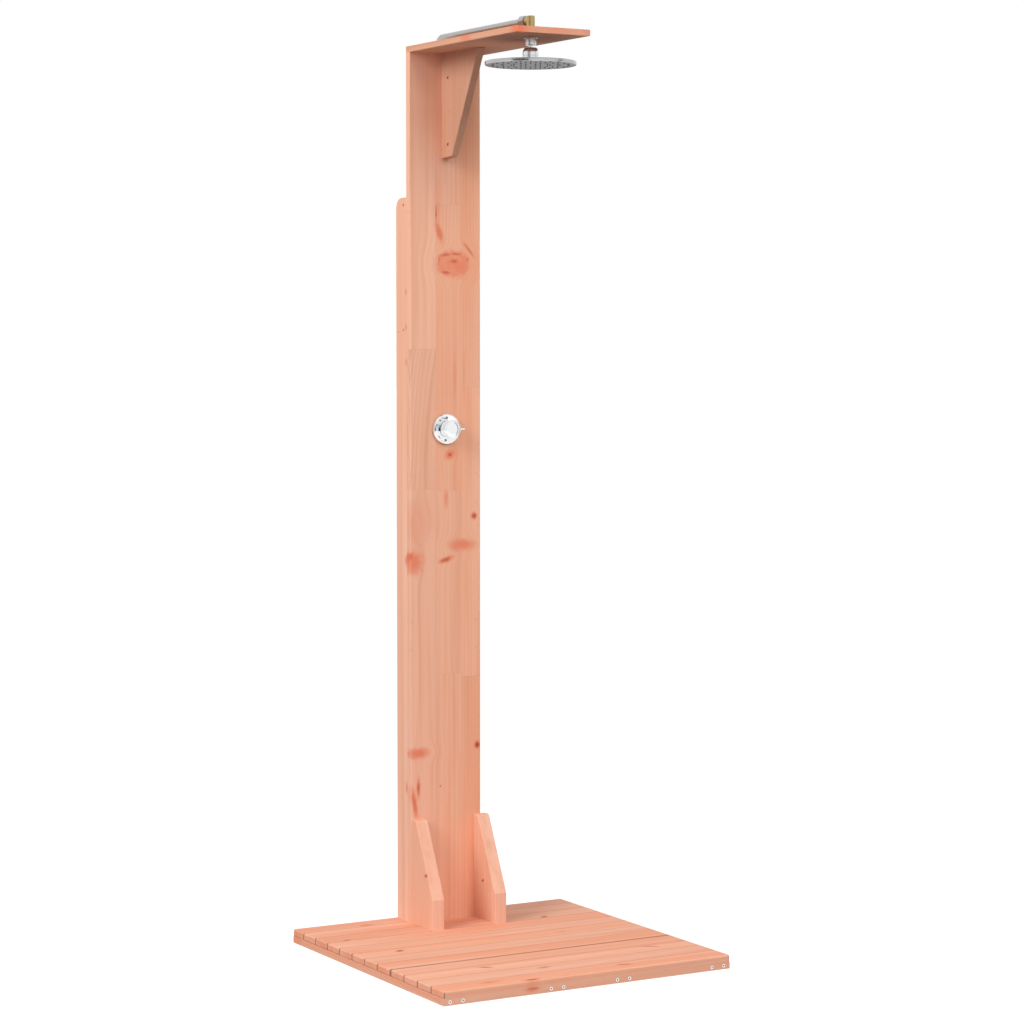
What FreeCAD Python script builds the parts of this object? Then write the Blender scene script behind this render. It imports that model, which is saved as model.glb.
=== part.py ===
"""Outdoor shower post: a plank deck, a three-board post, a top board with a tilting rain head,
a concealed quarter-turn valve with a pin handle, and the riser pipe between them.

Millimetres. Origin on the floor under the middle of the deck, X to the right, Y to the back,
Z up. The user stands on the deck at the low-Y side and faces +Y.
"""
import FreeCAD, Part
import math
import os

V = FreeCAD.Vector
X_AXIS, Y_AXIS, Z_AXIS = V(1, 0, 0), V(0, 1, 0), V(0, 0, 1)
FORWARD, DOWN = V(0, -1, 0), V(0, 0, -1)

# ---- deck -------------------------------------------------------------------------------
deck_width = 700.0            # along X, the length of every plank
plank_thick = 15.0
plank_count = 12
plank_width = 58.5            # a full plank, front to back
front_plank_width = 54.0      # the first and last planks are ripped narrower
rear_plank_width = 51.8
plank_gap = 1.2
open_gap = 3.2                # one joint stands open
planks_before_open_gap = 4
plank_end_ease = 2.0          # chamfer round the end grain
deck_nose_round = 4.0         # rounded front arris of the first plank
frame_thick = 15.0            # rails and bearers lie under the planks
front_rail_depth = 22.0
rear_rail_depth = 58.0
bearer_width = 60.0

# ---- post -------------------------------------------------------------------------------
post_width = 180.0
front_board_thick = 18.0
side_board_thick = 18.0
side_board_depth = 48.0
side_board_length = 1639.0
side_board_corner = 25.0      # rounded rear top corner
post_rear_margin = 8.0        # from the side boards' rear edges to the deck's rear edge
board_ease = 1.5              # eased long edges of the boards
front_board_length = 1961.0

# ---- top board and its bracket ----------------------------------------------------------
top_board_thick = 13.0
top_board_length = 495.0
bracket_thick = 18.0
bracket_height = 234.0
bracket_top_depth = 168.0
bracket_foot_depth = 47.0
bracket_foot_rise = 3.0       # the foot's edge rises this much towards the front
bracket_toe_round = 6.0

# ---- base gussets -----------------------------------------------------------------------
gusset_thick = 30.0
gusset_height = 237.0
gusset_depth = 99.0
gusset_top_depth = 19.0
gusset_front_height = 68.0    # upright part of the front edge
gusset_top_round = 8.0
brace_ease = 1.2              # eased arrises of the gussets and the bracket
gusset_left_inset = 2.0       # left gusset stands in from the post's left edge
gusset_right_overhang = 12.0  # right gusset stands out past the post's right edge

# ---- sides of the round pieces that are made with flats ---------------------------------
wide_sides = 44               # the head and the cover plate
knob_sides = 28               # the handle, the ball nut and its socket
hidden_sides = 20             # small round pieces that nothing shows
pin_sides = 12
screw_sides = 6

# ---- wood screws ------------------------------------------------------------------------
wood_clearance = 0.15         # radial gap between a screw and its hole
board_screw_size = dict(shank=2.0, head=4.0, head_height=2.8, length=45.0)
toe_screw_size = dict(shank=2.0, head=4.0, head_height=2.8, length=62.0)
foot_screw_size = dict(shank=2.5, head=5.0, head_height=3.4, length=70.0)
pan_screw_size = dict(shank=2.0, head=3.8, head_height=2.2, length=15.0)
rail_screw_size = dict(shank=2.0, head=4.0, head_height=2.8, length=45.0)
rail_screw_spacing = 30.0     # each bearer's end takes a pair of screws
toe_angle = 24.0              # degrees off the board's normal
gusset_toe_height = 0.38      # share of the gusset's height where its slanting screw enters
gusset_toe_depth = 46.0       # in front of the front board
gusset_foot_share = 0.54      # share of the gusset's depth where the screw from below enters
side_foot_insets = (11.0, 41.0)   # screws from below, behind the side board's front edge
bracket_toe_depth = 32.0
bracket_toe_shares = (0.13, 0.76)     # shares of the bracket's height, from its foot
top_screw_shares = (0.09, 0.23)       # shares of the top board's length, in front of the front board

# ---- shower head ------------------------------------------------------------------------
head_setback = 96.0           # head axis behind the top board's front edge
head_radius = 98.0
head_rim_height = 8.0
head_wall = 1.6
seal_pocket = 7.5             # radius of the pocket for the rubber ring under the ball
seal_depth = 3.0
head_hub_radius = 20.0
head_hub_rise = 6.0           # hub's top above the rim's top
plate_thick = 2.0
plate_gap = 0.3               # between the nozzle plate and the shell's rim
plate_inset = 0.6             # the plate lies this far inside the rim's edge
plate_ring_gap = 0.2          # between its rubber ring and the shell
plate_ring_width = 3.0
plate_ring_thick = 1.6
nozzle_rings = 4
nozzle_ring_pitch = 20.5
nozzles_per_ring = 6          # more in each ring than in the ring inside it
nozzle_foot_radius = 1.9
nozzle_tip_radius = 1.2
nozzle_drop = 1.6             # how far a nozzle stands out of the plate
nozzle_sides = 5
ball_steps = 6                # flats from pole to stem
ball_radius = 10.0
ball_below_board = 33.0       # ball centre under the top board's underside
ball_clearance = 0.1
liner_clearance = 0.3         # between the liners and the nut
liner_thick = 1.4
liner_zone = 6.5              # each liner reaches this far up or down the ball
liner_gap = 3.2               # between the two liners
stem_radius = 5.0
tilt_limit = 17.0             # degrees that the nut's mouth leaves the stem, any way
ball_nut_radius = 17.0
ball_nut_above = 12.5         # nut's top above the ball's centre
ball_nut_round = 2.5
ball_nut_lip = 9.0            # where its mouth starts to flare, above the ball's centre
ball_nut_seat = 3.5           # where its inside starts to close in on the upper liner
socket_radius = 12.0
socket_height = 15.0
socket_ease = 1.2
washer_thick = 1.0
washer_radius = 15.0
washer_play = 0.5

# ---- elbow and riser pipe ---------------------------------------------------------------
pipe_radius = 7.0
pipe_rise = 24.5              # pipe axis above the top board
pipe_setback = 13.0           # riser axis behind the front board
pipe_bend = 21.0              # radius of the bend's centre line
elbow_radius = 9.0
elbow_crown = 1.0             # chamfer round the top of the elbow's body
elbow_arm = 16.0              # elbow axis to the end of its plain arm
spigot_radius = 8.4           # threaded end under the nut
spigot_length = 12.0
nut_flats = 21.0
nut_length = 22.0
olive_length = 4.0
fitting_clearance = 0.1
elbow_collar_flats = 24.0
elbow_collar_height = 5.0
drop_radius = 8.3             # threaded leg through the top board
drop_reach = 11.0             # how far the leg enters the socket
board_hole_clearance = 0.8
olive_squeeze = 0.2           # the olive is this much smaller than the spigot
nut_standoff = 0.3            # between the nut and the shoulder behind the spigot
pipe_stop = 1.5               # the pipe's socket starts this far behind the shoulder

# ---- valve ------------------------------------------------------------------------------
valve_height = 1150.0         # above the floor
rosette_radius = 35.0
rosette_thick = 8.0
rosette_round = 3.0
gasket_thick = 1.0
handle_radius = 20.5
handle_length = 26.0
handle_wall = 3.0
handle_gap = 0.8              # between the handle and the rosette
sleeve_entry = 6.0            # how deep the sleeve's end stands in the handle
cap_radius = 17.0
cap_thick = 1.5
handle_ease = 1.2
lever_radius = 2.0
lever_reach = 38.0            # tip of the pin from the valve's axis
spindle_radius = 4.0
spindle_clearance = 0.05
sleeve_radius = 15.0
sleeve_wall = 2.0
sleeve_length = 23.0
sleeve_start = 1.0            # in front of the valve's flange
sleeve_hole_clearance = 1.1   # round the sleeve in the front board
gland_radius = 8.0
collar_length = 9.0           # of the cartridge's collar inside the sleeve
spindle_foot = 2.9            # thickness of the foot that drives the moving disc
barrel_radius = 20.0
barrel_length = 31.0
flange_radius = 31.0
flange_thick = 4.0
cartridge_radius = 12.0
socket_depth = 24.0
disc_radius = 9.0
disc_thick = 3.0
seal_thick = 1.5
seal_margin = 0.5             # rubber rings stand in this much from the edge that they seal
seal_width = 4.0
gasket_inset = 6.0
inlet_radius = 10.48          # male pipe thread for a supply hose, on the valve's axis
inlet_bore = 7.5
inlet_length = 15.0
outlet_boss_radius = 11.0
outlet_reach = 45.0           # valve axis to the end of the outlet
valve_screw_circle = 25.5
valve_screw_count = 4

# ---- pipe clips -------------------------------------------------------------------------
clip_shares = (0.31, 0.75)    # heights, as shares of the way from the valve to the top board
clip_width = 12.0
clip_wall = 2.2
clip_foot = 16.0

# ---- places worked out from the sizes ---------------------------------------------------
deck_depth = (front_plank_width + rear_plank_width + (plank_count - 2) * plank_width
              + (plank_count - 2) * plank_gap + open_gap)
deck_top = frame_thick + plank_thick
deck_front = -deck_depth / 2
deck_rear = deck_depth / 2
side_rear = deck_rear - post_rear_margin
board_rear = side_rear - side_board_depth
board_front = board_rear - front_board_thick
top_under = deck_top + front_board_length
top_over = top_under + top_board_thick
top_front = board_rear - top_board_length
head_y = top_front + head_setback
pipe_top_z = top_over + pipe_rise
riser_y = board_rear + pipe_setback
channel_half = post_width / 2 - side_board_thick
bearer_outer_x = deck_width / 2 - bearer_width / 2
bearer_inner_x = post_width / 2 - side_board_thick / 2
clip_heights = [valve_height + share * (top_under - valve_height) for share in clip_shares]
bearer_centres = (-bearer_outer_x, -bearer_inner_x, bearer_inner_x, bearer_outer_x)
ball_z = top_under - ball_below_board
rail_rear = deck_front + front_rail_depth
rear_rail_front = deck_rear - rear_rail_depth


# ---- shape helpers ----------------------------------------------------------------------
def block(x0, x1, y0, y1, z0, z1):
    return Part.makeBox(x1 - x0, y1 - y0, z1 - z0, V(x0, y0, z0))


def rod(radius, start, direction, length):
    return Part.makeCylinder(radius, length, start, direction)


def aimed(shape, start, direction):
    """Move a shape built along +Z from the origin so that it starts at start and runs along direction."""
    placed = shape.copy()
    placed.Placement = FreeCAD.Placement(start, FreeCAD.Rotation(Z_AXIS, direction))
    return placed


def faceted(profile, start, direction, sides, outside=False):
    """Turn a closed (radius, height) outline into a flat-sided solid and aim it. Its corners lie on the
    outline, or with outside its flats do."""
    grow = 1 / math.cos(math.pi / sides) if outside else 1.0
    faces = []
    for k in range(sides):
        left, right = 2 * math.pi * k / sides, 2 * math.pi * (k + 1) / sides
        for low, high in zip(profile, profile[1:] + profile[:1]):
            corners = []
            for (radius, height), angle in ((low, left), (low, right), (high, right), (high, left)):
                point = V(radius * grow * math.cos(angle), radius * grow * math.sin(angle), height)
                if all(point.distanceToPoint(other) > 1e-6 for other in corners):
                    corners.append(point)
            if len(corners) > 2:
                faces.append(Part.Face(Part.makePolygon(corners + corners[:1])))
    shell = Part.makeShell(faces)
    shell.sewShape()
    solid = Part.makeSolid(shell)
    if solid.Volume < 0:
        solid.reverse()
    return aimed(solid.removeSplitter(), start, direction)


def round_hole(radius, start, direction, length):
    """A flat-sided tool for a hole that a round piece of this radius still clears."""
    profile = [(0, 0), (radius, 0), (radius, length), (0, length)]
    return faceted(profile, start, direction, hidden_sides, True)


def ring(outer, inner, start, direction, length, sides=hidden_sides):
    return faceted([(inner, 0), (outer, 0), (outer, length), (inner, length)], start, direction, sides)


def hexagon(flats, start, direction, length):
    return faceted([(0, 0), (flats / 2, 0), (flats / 2, length), (0, length)], start, direction, 6, True)


def side_plate(outline, x0, thick):
    """A board standing in the YZ plane: outline of (y, z) corners, extruded along +X."""
    corners = [V(x0, y, z) for y, z in outline]
    return Part.Face(Part.makePolygon(corners + corners[:1])).extrude(V(thick, 0, 0))


def edges_where(shape, test):
    return [edge for edge in shape.Edges if test(edge)]


def is_along(edge, axis):
    run = edge.Vertexes[-1].Point - edge.Vertexes[0].Point
    return run.Length > 0 and abs(run.normalize().dot(axis)) > 0.999


def chamfered(plate, size, kept):
    """Ease the arrises round both faces of a plate that stands in the YZ plane, but not those kept."""
    faces = (plate.BoundBox.XMin, plate.BoundBox.XMax)
    arrises = edges_where(plate, lambda edge: edge.BoundBox.XLength < 0.01 and not kept(edge)
                          and min(abs(edge.CenterOfMass.x - face) for face in faces) < 0.01)
    return plate.makeChamfer(size, arrises)


def eased(shape, axis, size):
    """Round the straight edges that run along an axis."""
    return shape.makeFillet(size, edges_where(shape, lambda edge: is_along(edge, axis)))


# ---- screws -----------------------------------------------------------------------------
def countersunk(size, gap=0.0):
    """Outline of a countersunk screw, head flush at height 0; gap widens it into its hole."""
    shank, head = size["shank"] + gap, size["head"] + gap
    return [(0, -gap), (head, -gap), (shank, size["head_height"]), (shank, size["length"] - 2 * shank),
            (0, size["length"] + gap)]


def pan_head(size, gap=0.0):
    """Outline of a pan-head screw that stands on the surface at height 0."""
    shank, head = size["shank"] + gap, size["head"]
    length = size["length"] + gap
    if gap:
        return [(0, -gap), (shank, -gap), (shank, length - 2 * shank), (0, length)]
    high = size["head_height"]
    return [(0, -high), (head * 0.7, -high), (head, 0), (shank, 0), (shank, length - 2 * shank),
            (0, length)]


class Screws:
    """A group of identical screws, with the holes that they need."""

    def __init__(self, outline, size, places):
        self.solids = [faceted(outline(size), point, direction, screw_sides) for point, direction in places]
        self.holes = [faceted(outline(size, wood_clearance), point, direction, screw_sides, True)
                      for point, direction in places]


def drilled(shape, groups):
    """Cut the holes of every screw that reaches a piece."""
    holes = [hole for group in groups for hole in group.holes
             if shape.BoundBox.intersect(hole.BoundBox)]
    return shape.cut(Part.makeCompound(holes)) if holes else shape


# ---- deck -------------------------------------------------------------------------------
def plank_spans():
    """Front and rear edge of every plank, from the front of the deck."""
    spans = []
    front = deck_front
    for number in range(1, plank_count + 1):
        width = plank_width
        if number == 1:
            width = front_plank_width
        elif number == plank_count:
            width = rear_plank_width
        spans.append((front, front + width))
        front += width + (open_gap if number == planks_before_open_gap else plank_gap)
    return spans


def make_plank(number, span):
    half = deck_width / 2
    plank = block(-half, half, span[0], span[1], frame_thick, deck_top)
    if number == 1:
        nose = edges_where(plank, lambda edge: is_along(edge, X_AXIS)
                           and abs(edge.CenterOfMass.y - span[0]) < 0.01
                           and abs(edge.CenterOfMass.z - deck_top) < 0.01)
        plank = plank.makeFillet(deck_nose_round, nose)
    ends = edges_where(plank, lambda edge: abs(abs(edge.BoundBox.Center.x) - half) < 0.01
                       and edge.BoundBox.XLength < 0.01)
    return plank.makeChamfer(plank_end_ease, ends)


def make_bearer(centre):
    half = bearer_width / 2
    return block(centre - half, centre + half, rail_rear, rear_rail_front, 0, frame_thick)


# ---- post -------------------------------------------------------------------------------
def make_front_board():
    half = post_width / 2
    board = block(-half, half, board_front, board_rear, deck_top, top_under)
    board = eased(board, Z_AXIS, board_ease)
    bore = sleeve_radius + sleeve_hole_clearance
    return board.cut(rod(bore, V(0, board_front - 1, valve_height), Y_AXIS, front_board_thick + 2))


def make_side_board(side):
    outer = side * post_width / 2
    inner = side * channel_half
    board = block(min(outer, inner), max(outer, inner), board_rear, side_rear,
                  deck_top, deck_top + side_board_length)
    top_corner = edges_where(board, lambda edge: is_along(edge, X_AXIS)
                             and abs(edge.CenterOfMass.y - side_rear) < 0.01
                             and edge.CenterOfMass.z > deck_top + 1)
    board = board.makeFillet(side_board_corner, top_corner)
    outer_edge = edges_where(board, lambda edge: is_along(edge, Z_AXIS)
                             and abs(edge.CenterOfMass.x - outer) < 0.01
                             and abs(edge.CenterOfMass.y - board_rear) < 0.01)
    return board.makeFillet(board_ease, outer_edge)


def make_top_board():
    half = post_width / 2
    board = block(-half, half, top_front, board_rear, top_under, top_over)
    board = eased(board, Z_AXIS, board_ease)
    hole = drop_radius + board_hole_clearance
    return board.cut(rod(hole, V(0, head_y, top_under - 1), Z_AXIS, top_board_thick + 2))


def make_bracket():
    foot = top_under - bracket_height
    outline = [(board_front, foot), (board_front - bracket_foot_depth, foot + bracket_foot_rise),
               (board_front - bracket_top_depth, top_under - board_ease),
               (board_front - bracket_top_depth + board_ease, top_under), (board_front, top_under)]
    plate = side_plate(outline, -bracket_thick / 2, bracket_thick)
    toe = edges_where(plate, lambda edge: is_along(edge, X_AXIS)
                      and abs(edge.CenterOfMass.y - (board_front - bracket_foot_depth)) < 0.01)
    plate = plate.makeFillet(bracket_toe_round, toe)
    return chamfered(plate, brace_ease, lambda edge: edge.BoundBox.YMin > board_front - 0.01
                     or edge.BoundBox.ZMin > top_under - board_ease - 0.01)


def make_gusset(x0):
    top = deck_top + gusset_height
    outline = [(board_front, deck_top), (board_front - gusset_depth, deck_top),
               (board_front - gusset_depth, deck_top + gusset_front_height),
               (board_front - gusset_top_depth, top), (board_front, top)]
    plate = side_plate(outline, x0, gusset_thick)
    corner = edges_where(plate, lambda edge: is_along(edge, X_AXIS)
                         and abs(edge.CenterOfMass.y - (board_front - gusset_top_depth)) < 0.01
                         and edge.CenterOfMass.z > deck_top + gusset_front_height)
    plate = plate.makeFillet(gusset_top_round, corner)
    return chamfered(plate, brace_ease, lambda edge: edge.BoundBox.YMin > board_front - 0.01
                     or edge.BoundBox.ZMax < deck_top + 0.01)


gusset_left_x = -post_width / 2 + gusset_left_inset
gusset_right_x = post_width / 2 + gusset_right_overhang - gusset_thick


# ---- where the screws go ----------------------------------------------------------------
def rail_screw_places():
    places = []
    for centre in bearer_centres:
        for side in (-0.5, 0.5):
            places.append((V(centre + side * rail_screw_spacing, deck_front, frame_thick / 2), Y_AXIS))
    return places


def foot_screw_places():
    """Up through the rear rail into the side boards, and through the inner bearers into the gussets."""
    places = []
    for side in (-1, 1):
        for inset in side_foot_insets:
            places.append((V(side * bearer_inner_x, board_rear + inset, 0), Z_AXIS))
    for x0 in (gusset_left_x, gusset_right_x):
        places.append((V(x0 + gusset_thick / 2, board_front - gusset_foot_share * gusset_depth, 0), Z_AXIS))
    return places


def toe_direction(side):
    """Backwards into the front board and across the piece that the screw enters from a side face."""
    slant = math.radians(toe_angle)
    return V(side * math.sin(slant), math.cos(slant), 0)


def gusset_toe_places():
    """One slanting screw from the inner face of each gusset."""
    height = deck_top + gusset_toe_height * gusset_height
    depth = board_front - gusset_toe_depth
    return [(V(gusset_left_x + gusset_thick, depth, height), toe_direction(-1)),
            (V(gusset_right_x, depth, height), toe_direction(1))]


def bracket_toe_places():
    """Two slanting screws from the bracket's left face."""
    foot = top_under - bracket_height
    return [(V(-bracket_thick / 2, board_front - bracket_toe_depth, foot + share * bracket_height),
             toe_direction(1)) for share in bracket_toe_shares]


def board_screw_places():
    """Down through the top board into the front board and the bracket."""
    places = [(V(side * post_width / 3, board_front + front_board_thick / 2, top_over), DOWN)
              for side in (-1, 1)]
    for share in top_screw_shares:
        places.append((V(0, board_front - share * top_board_length, top_over), DOWN))
    return places


def pan_screw_places():
    """The valve's flange and the pipe clips are screwed to the back of the front board."""
    places = []
    for k in range(valve_screw_count):
        angle = math.radians(45 + 360 * k / valve_screw_count)
        places.append((V(valve_screw_circle * math.cos(angle), board_rear + flange_thick,
                         valve_height + valve_screw_circle * math.sin(angle)), FORWARD))
    for height in clip_heights:
        for side in (-1, 1):
            places.append((V(side * clip_screw_x(), board_rear + clip_wall, height), FORWARD))
    return places


# ---- riser pipe, its clips and the elbow ------------------------------------------------
def make_pipe():
    """One formed pipe: up the back of the front board, round the bend and forward over the top."""
    foot = valve_height + outlet_reach - spigot_length + pipe_stop + 0.5
    bend_start = pipe_top_z - pipe_bend
    end_y = head_y + elbow_arm + pipe_stop + 0.5
    half_turn = pipe_bend * math.sin(math.radians(45))
    middle = V(0, riser_y - pipe_bend + half_turn, bend_start + half_turn)
    path = Part.Wire([
        Part.LineSegment(V(0, riser_y, foot), V(0, riser_y, bend_start)).toShape(),
        Part.Arc(V(0, riser_y, bend_start), middle, V(0, riser_y - pipe_bend, pipe_top_z)).toShape(),
        Part.LineSegment(V(0, riser_y - pipe_bend, pipe_top_z), V(0, end_y, pipe_top_z)).toShape()])
    ring = Part.Wire(Part.makeCircle(pipe_radius, V(0, riser_y, foot), Z_AXIS))
    return path.makePipeShell([ring], True, False)


def clip_screw_x():
    return pipe_radius + fitting_clearance + clip_wall + clip_foot / 2


def make_clip(height):
    """A saddle clip: a band over the pipe with two flat feet on the front board."""
    low = height - clip_width / 2
    inner = pipe_radius + fitting_clearance
    outer = inner + clip_wall
    reach = outer + clip_foot
    band = rod(outer, V(0, riser_y, low), Z_AXIS, clip_width)
    band = band.fuse(block(-outer, outer, board_rear, riser_y, low, low + clip_width))
    feet = block(-reach, reach, board_rear, board_rear + clip_wall, low, low + clip_width)
    room = rod(inner, V(0, riser_y, low), Z_AXIS, clip_width)
    room = room.fuse(block(-inner, inner, board_rear - 1, riser_y, low, low + clip_width))
    return band.fuse(feet).cut(room).removeSplitter()


def make_elbow():
    """A brass elbow: a threaded leg down through the top board, a collar on it and an arm for the pipe."""
    drop = washer_thick + drop_reach
    crown = pipe_rise + elbow_radius
    low = -top_board_thick - drop
    leg = faceted([(0, low), (drop_radius, low), (drop_radius, 0), (elbow_radius, 0),
                   (elbow_radius, crown - elbow_crown), (elbow_radius - elbow_crown, crown), (0, crown)],
                  V(0, head_y, top_over), Z_AXIS, hidden_sides)
    arm = faceted([(0, 0), (elbow_radius, 0), (elbow_radius, elbow_arm), (spigot_radius, elbow_arm),
                   (spigot_radius, elbow_arm + spigot_length), (0, elbow_arm + spigot_length)],
                  V(0, head_y, pipe_top_z), Y_AXIS, hidden_sides)
    collar = hexagon(elbow_collar_flats, V(0, head_y, top_over), Z_AXIS, elbow_collar_height)
    socket = round_hole(pipe_radius + fitting_clearance, V(0, head_y + elbow_arm + pipe_stop, pipe_top_z),
                        Y_AXIS, spigot_length)
    return leg.fuse([arm, collar]).cut(socket).removeSplitter()


def make_nut(start, direction):
    """A compression nut: wide bore over the spigot, narrow bore round the pipe."""
    wide = spigot_radius + fitting_clearance
    narrow = pipe_radius + fitting_clearance
    wide_end = spigot_length + olive_length
    bore = [(0, -1), (wide, -1), (wide, wide_end), (narrow, wide_end), (narrow, nut_length + 1),
            (0, nut_length + 1)]
    nut = hexagon(nut_flats, start, direction, nut_length)
    return nut.cut(faceted(bore, start, direction, hidden_sides, True))


def make_olive(start, direction):
    """The soft ring that the nut squeezes between the spigot and the pipe."""
    inner = (pipe_radius + fitting_clearance / 2) / math.cos(math.pi / pin_sides)
    outer = spigot_radius - olive_squeeze
    length = olive_length - 2 * olive_squeeze
    return faceted([(inner, 0), (outer, length / 3), (outer, 2 * length / 3), (inner, length)],
                   start, direction, pin_sides)


# ---- valve ------------------------------------------------------------------------------
def valve_point(behind, above=0.0):
    """A point on the valve's plane of symmetry, so far behind the front board and above its axis."""
    return V(0, board_rear + behind, valve_height + above)


def make_valve_body():
    """Cast body: a barrel and flange behind the board, an inlet thread at its back and an outlet above."""
    shoulder = outlet_reach - spigot_length
    barrel = faceted([(0, 0), (flange_radius, 0), (flange_radius, flange_thick),
                      (barrel_radius, flange_thick), (barrel_radius, barrel_length), (0, barrel_length)],
                     valve_point(0), Y_AXIS, hidden_sides)
    outlet = faceted([(0, 0), (outlet_boss_radius, 0), (outlet_boss_radius, shoulder),
                      (spigot_radius, shoulder), (spigot_radius, outlet_reach), (0, outlet_reach)],
                     valve_point(pipe_setback), Z_AXIS, hidden_sides)
    inlet = rod(inlet_radius, valve_point(barrel_length), Y_AXIS, inlet_length)
    body = barrel.fuse([outlet, inlet])
    cuts = [round_hole(cartridge_radius + fitting_clearance, valve_point(-1), Y_AXIS, socket_depth + 1),
            round_hole(inlet_bore, valve_point(barrel_length + 1), Y_AXIS, inlet_length),
            round_hole(pipe_radius + fitting_clearance, valve_point(pipe_setback, shoulder + pipe_stop),
                       Z_AXIS, spigot_length)]
    for tool in cuts:
        body = body.cut(tool)
    return drilled(body, [pan_screws]).removeSplitter()


disc_bay = 2 * disc_thick + 0.3
cartridge_end = socket_depth - seal_thick - 0.1
spindle_end = cartridge_end - disc_bay


def make_cartridge():
    """Headwork: a collar inside the sleeve, a gland for the spindle and a bay for the discs."""
    collar = sleeve_radius - sleeve_wall - fitting_clearance
    profile = [(0, -sleeve_length), (gland_radius, -sleeve_length), (gland_radius, -collar_length),
               (collar, -collar_length), (collar, 0), (cartridge_radius, 0),
               (cartridge_radius, cartridge_end), (0, cartridge_end)]
    body = faceted(profile, valve_point(0), Y_AXIS, hidden_sides)
    bay = round_hole(disc_radius + fitting_clearance, valve_point(spindle_end - 6.0), Y_AXIS, disc_bay + 7)
    bore = rod(spindle_radius + spindle_clearance, valve_point(-sleeve_length - 1), Y_AXIS,
               sleeve_length + spindle_end)
    return body.cut(bay).cut(bore)


def make_disc(front):
    """A ceramic disc, ground flat, that lies against the other one."""
    profile = [(0, 0), (disc_radius, 0), (disc_radius, disc_thick), (0, disc_thick)]
    return faceted(profile, valve_point(front), Y_AXIS, hidden_sides)


cover_depth = front_board_thick + gasket_thick + rosette_thick
handle_rear = -cover_depth - handle_gap
handle_front = handle_rear - handle_length
lever_behind = handle_rear - handle_length * 0.45


def make_spindle():
    """The spindle turns in the gland, with a foot that drives the moving disc."""
    front = handle_front + handle_wall + 4.0
    foot_radius = disc_radius - 0.5
    foot = faceted([(0, 0), (foot_radius, 0), (foot_radius, spindle_foot), (0, spindle_foot)],
                   valve_point(spindle_end - spindle_foot - 0.1), Y_AXIS, hidden_sides)
    shaft = rod(spindle_radius, valve_point(front), Y_AXIS, spindle_end - spindle_foot / 2 - front)
    return shaft.fuse(foot)


def make_handle():
    """A turned knob with a round recess for the cap, a bore for the spindle and a side hole for the pin."""
    length = handle_length
    room = sleeve_radius + handle_gap
    recess = cap_radius + fitting_clearance
    profile = [(0, cap_thick), (recess, cap_thick), (recess, 0), (handle_radius - handle_ease, 0),
               (handle_radius, handle_ease), (handle_radius, length), (room, length),
               (room, length - sleeve_entry), (0, length - sleeve_entry)]
    knob = faceted(profile, valve_point(handle_front), Y_AXIS, knob_sides)
    bore = rod(spindle_radius + 0.03, valve_point(handle_front + handle_wall + 3.5), Y_AXIS, handle_length)
    pin_hole = round_hole(lever_radius + 0.05, valve_point(lever_behind), X_AXIS, handle_radius + 1)
    return knob.cut(bore).cut(pin_hole)


def make_lever():
    start = spindle_radius + 0.05
    length = lever_reach - start
    radius = lever_radius
    return faceted([(0, 0), (radius, 0), (radius, length - 0.7), (radius - 0.7, length), (0, length)],
                   valve_point(lever_behind) + V(start, 0, 0), X_AXIS, pin_sides)


def make_rosette():
    """A round cover plate with a softened rim and a hole for the sleeve."""
    high = rosette_thick
    hole = sleeve_radius + fitting_clearance
    outer = rosette_radius
    soft = 0.3 * rosette_round
    profile = [(hole, 0), (outer, 0), (outer, high - rosette_round), (outer - soft, high - soft),
               (outer - rosette_round, high), (hole, high)]
    return faceted(profile, valve_point(-front_board_thick - gasket_thick), FORWARD, wide_sides)


# ---- shower head ------------------------------------------------------------------------
spigot_top = -liner_zone - 1.0
seal_low = spigot_top - seal_depth


def head_point(above):
    """A point on the head's axis, so far above the ball's centre."""
    return V(0, head_y, ball_z + above)


liner_inner = ball_radius + ball_clearance
liner_outer = liner_inner + liner_thick
nut_inner = liner_outer + liner_clearance
hub_top = -nut_inner + 1.0
rim_top = hub_top - head_hub_rise
face = rim_top - head_rim_height


def make_ball_stem():
    """The fixed half of the ball joint: a threaded socket under the board, a stem and the ball."""
    socket_top = ball_below_board - washer_thick
    socket_low = socket_top - socket_height
    profile = [(0, -ball_radius)]
    lowest, highest = -90.0, math.degrees(math.acos(stem_radius / ball_radius))
    for k in range(1, ball_steps + 1):
        angle = math.radians(lowest + (highest - lowest) * k / ball_steps)
        profile.append((ball_radius * math.cos(angle), ball_radius * math.sin(angle)))
    profile += [(stem_radius, socket_low), (socket_radius - socket_ease, socket_low),
                (socket_radius, socket_low + socket_ease), (socket_radius, socket_top), (0, socket_top)]
    thread = round_hole(drop_radius + fitting_clearance, head_point(socket_top - drop_reach - 1.0), Z_AXIS,
                        drop_reach + 2.0)
    return faceted(profile, head_point(0), Z_AXIS, knob_sides).cut(thread)


def make_liner(side):
    """Half of the slippery lining: a cone-seated ring against the ball, above or below its middle."""
    low = liner_gap / 2
    angle = math.asin(liner_zone / liner_inner)
    seat = liner_inner / math.cos(angle / 2)
    slope = math.tan(angle / 2)
    profile = [(seat - slope * low, low), (seat - slope * liner_zone, liner_zone),
               (math.sqrt(liner_outer ** 2 - liner_zone ** 2), liner_zone),
               (math.sqrt(liner_outer ** 2 - low ** 2), low)]
    return faceted(profile, head_point(0), V(0, 0, side), hidden_sides)


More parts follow.
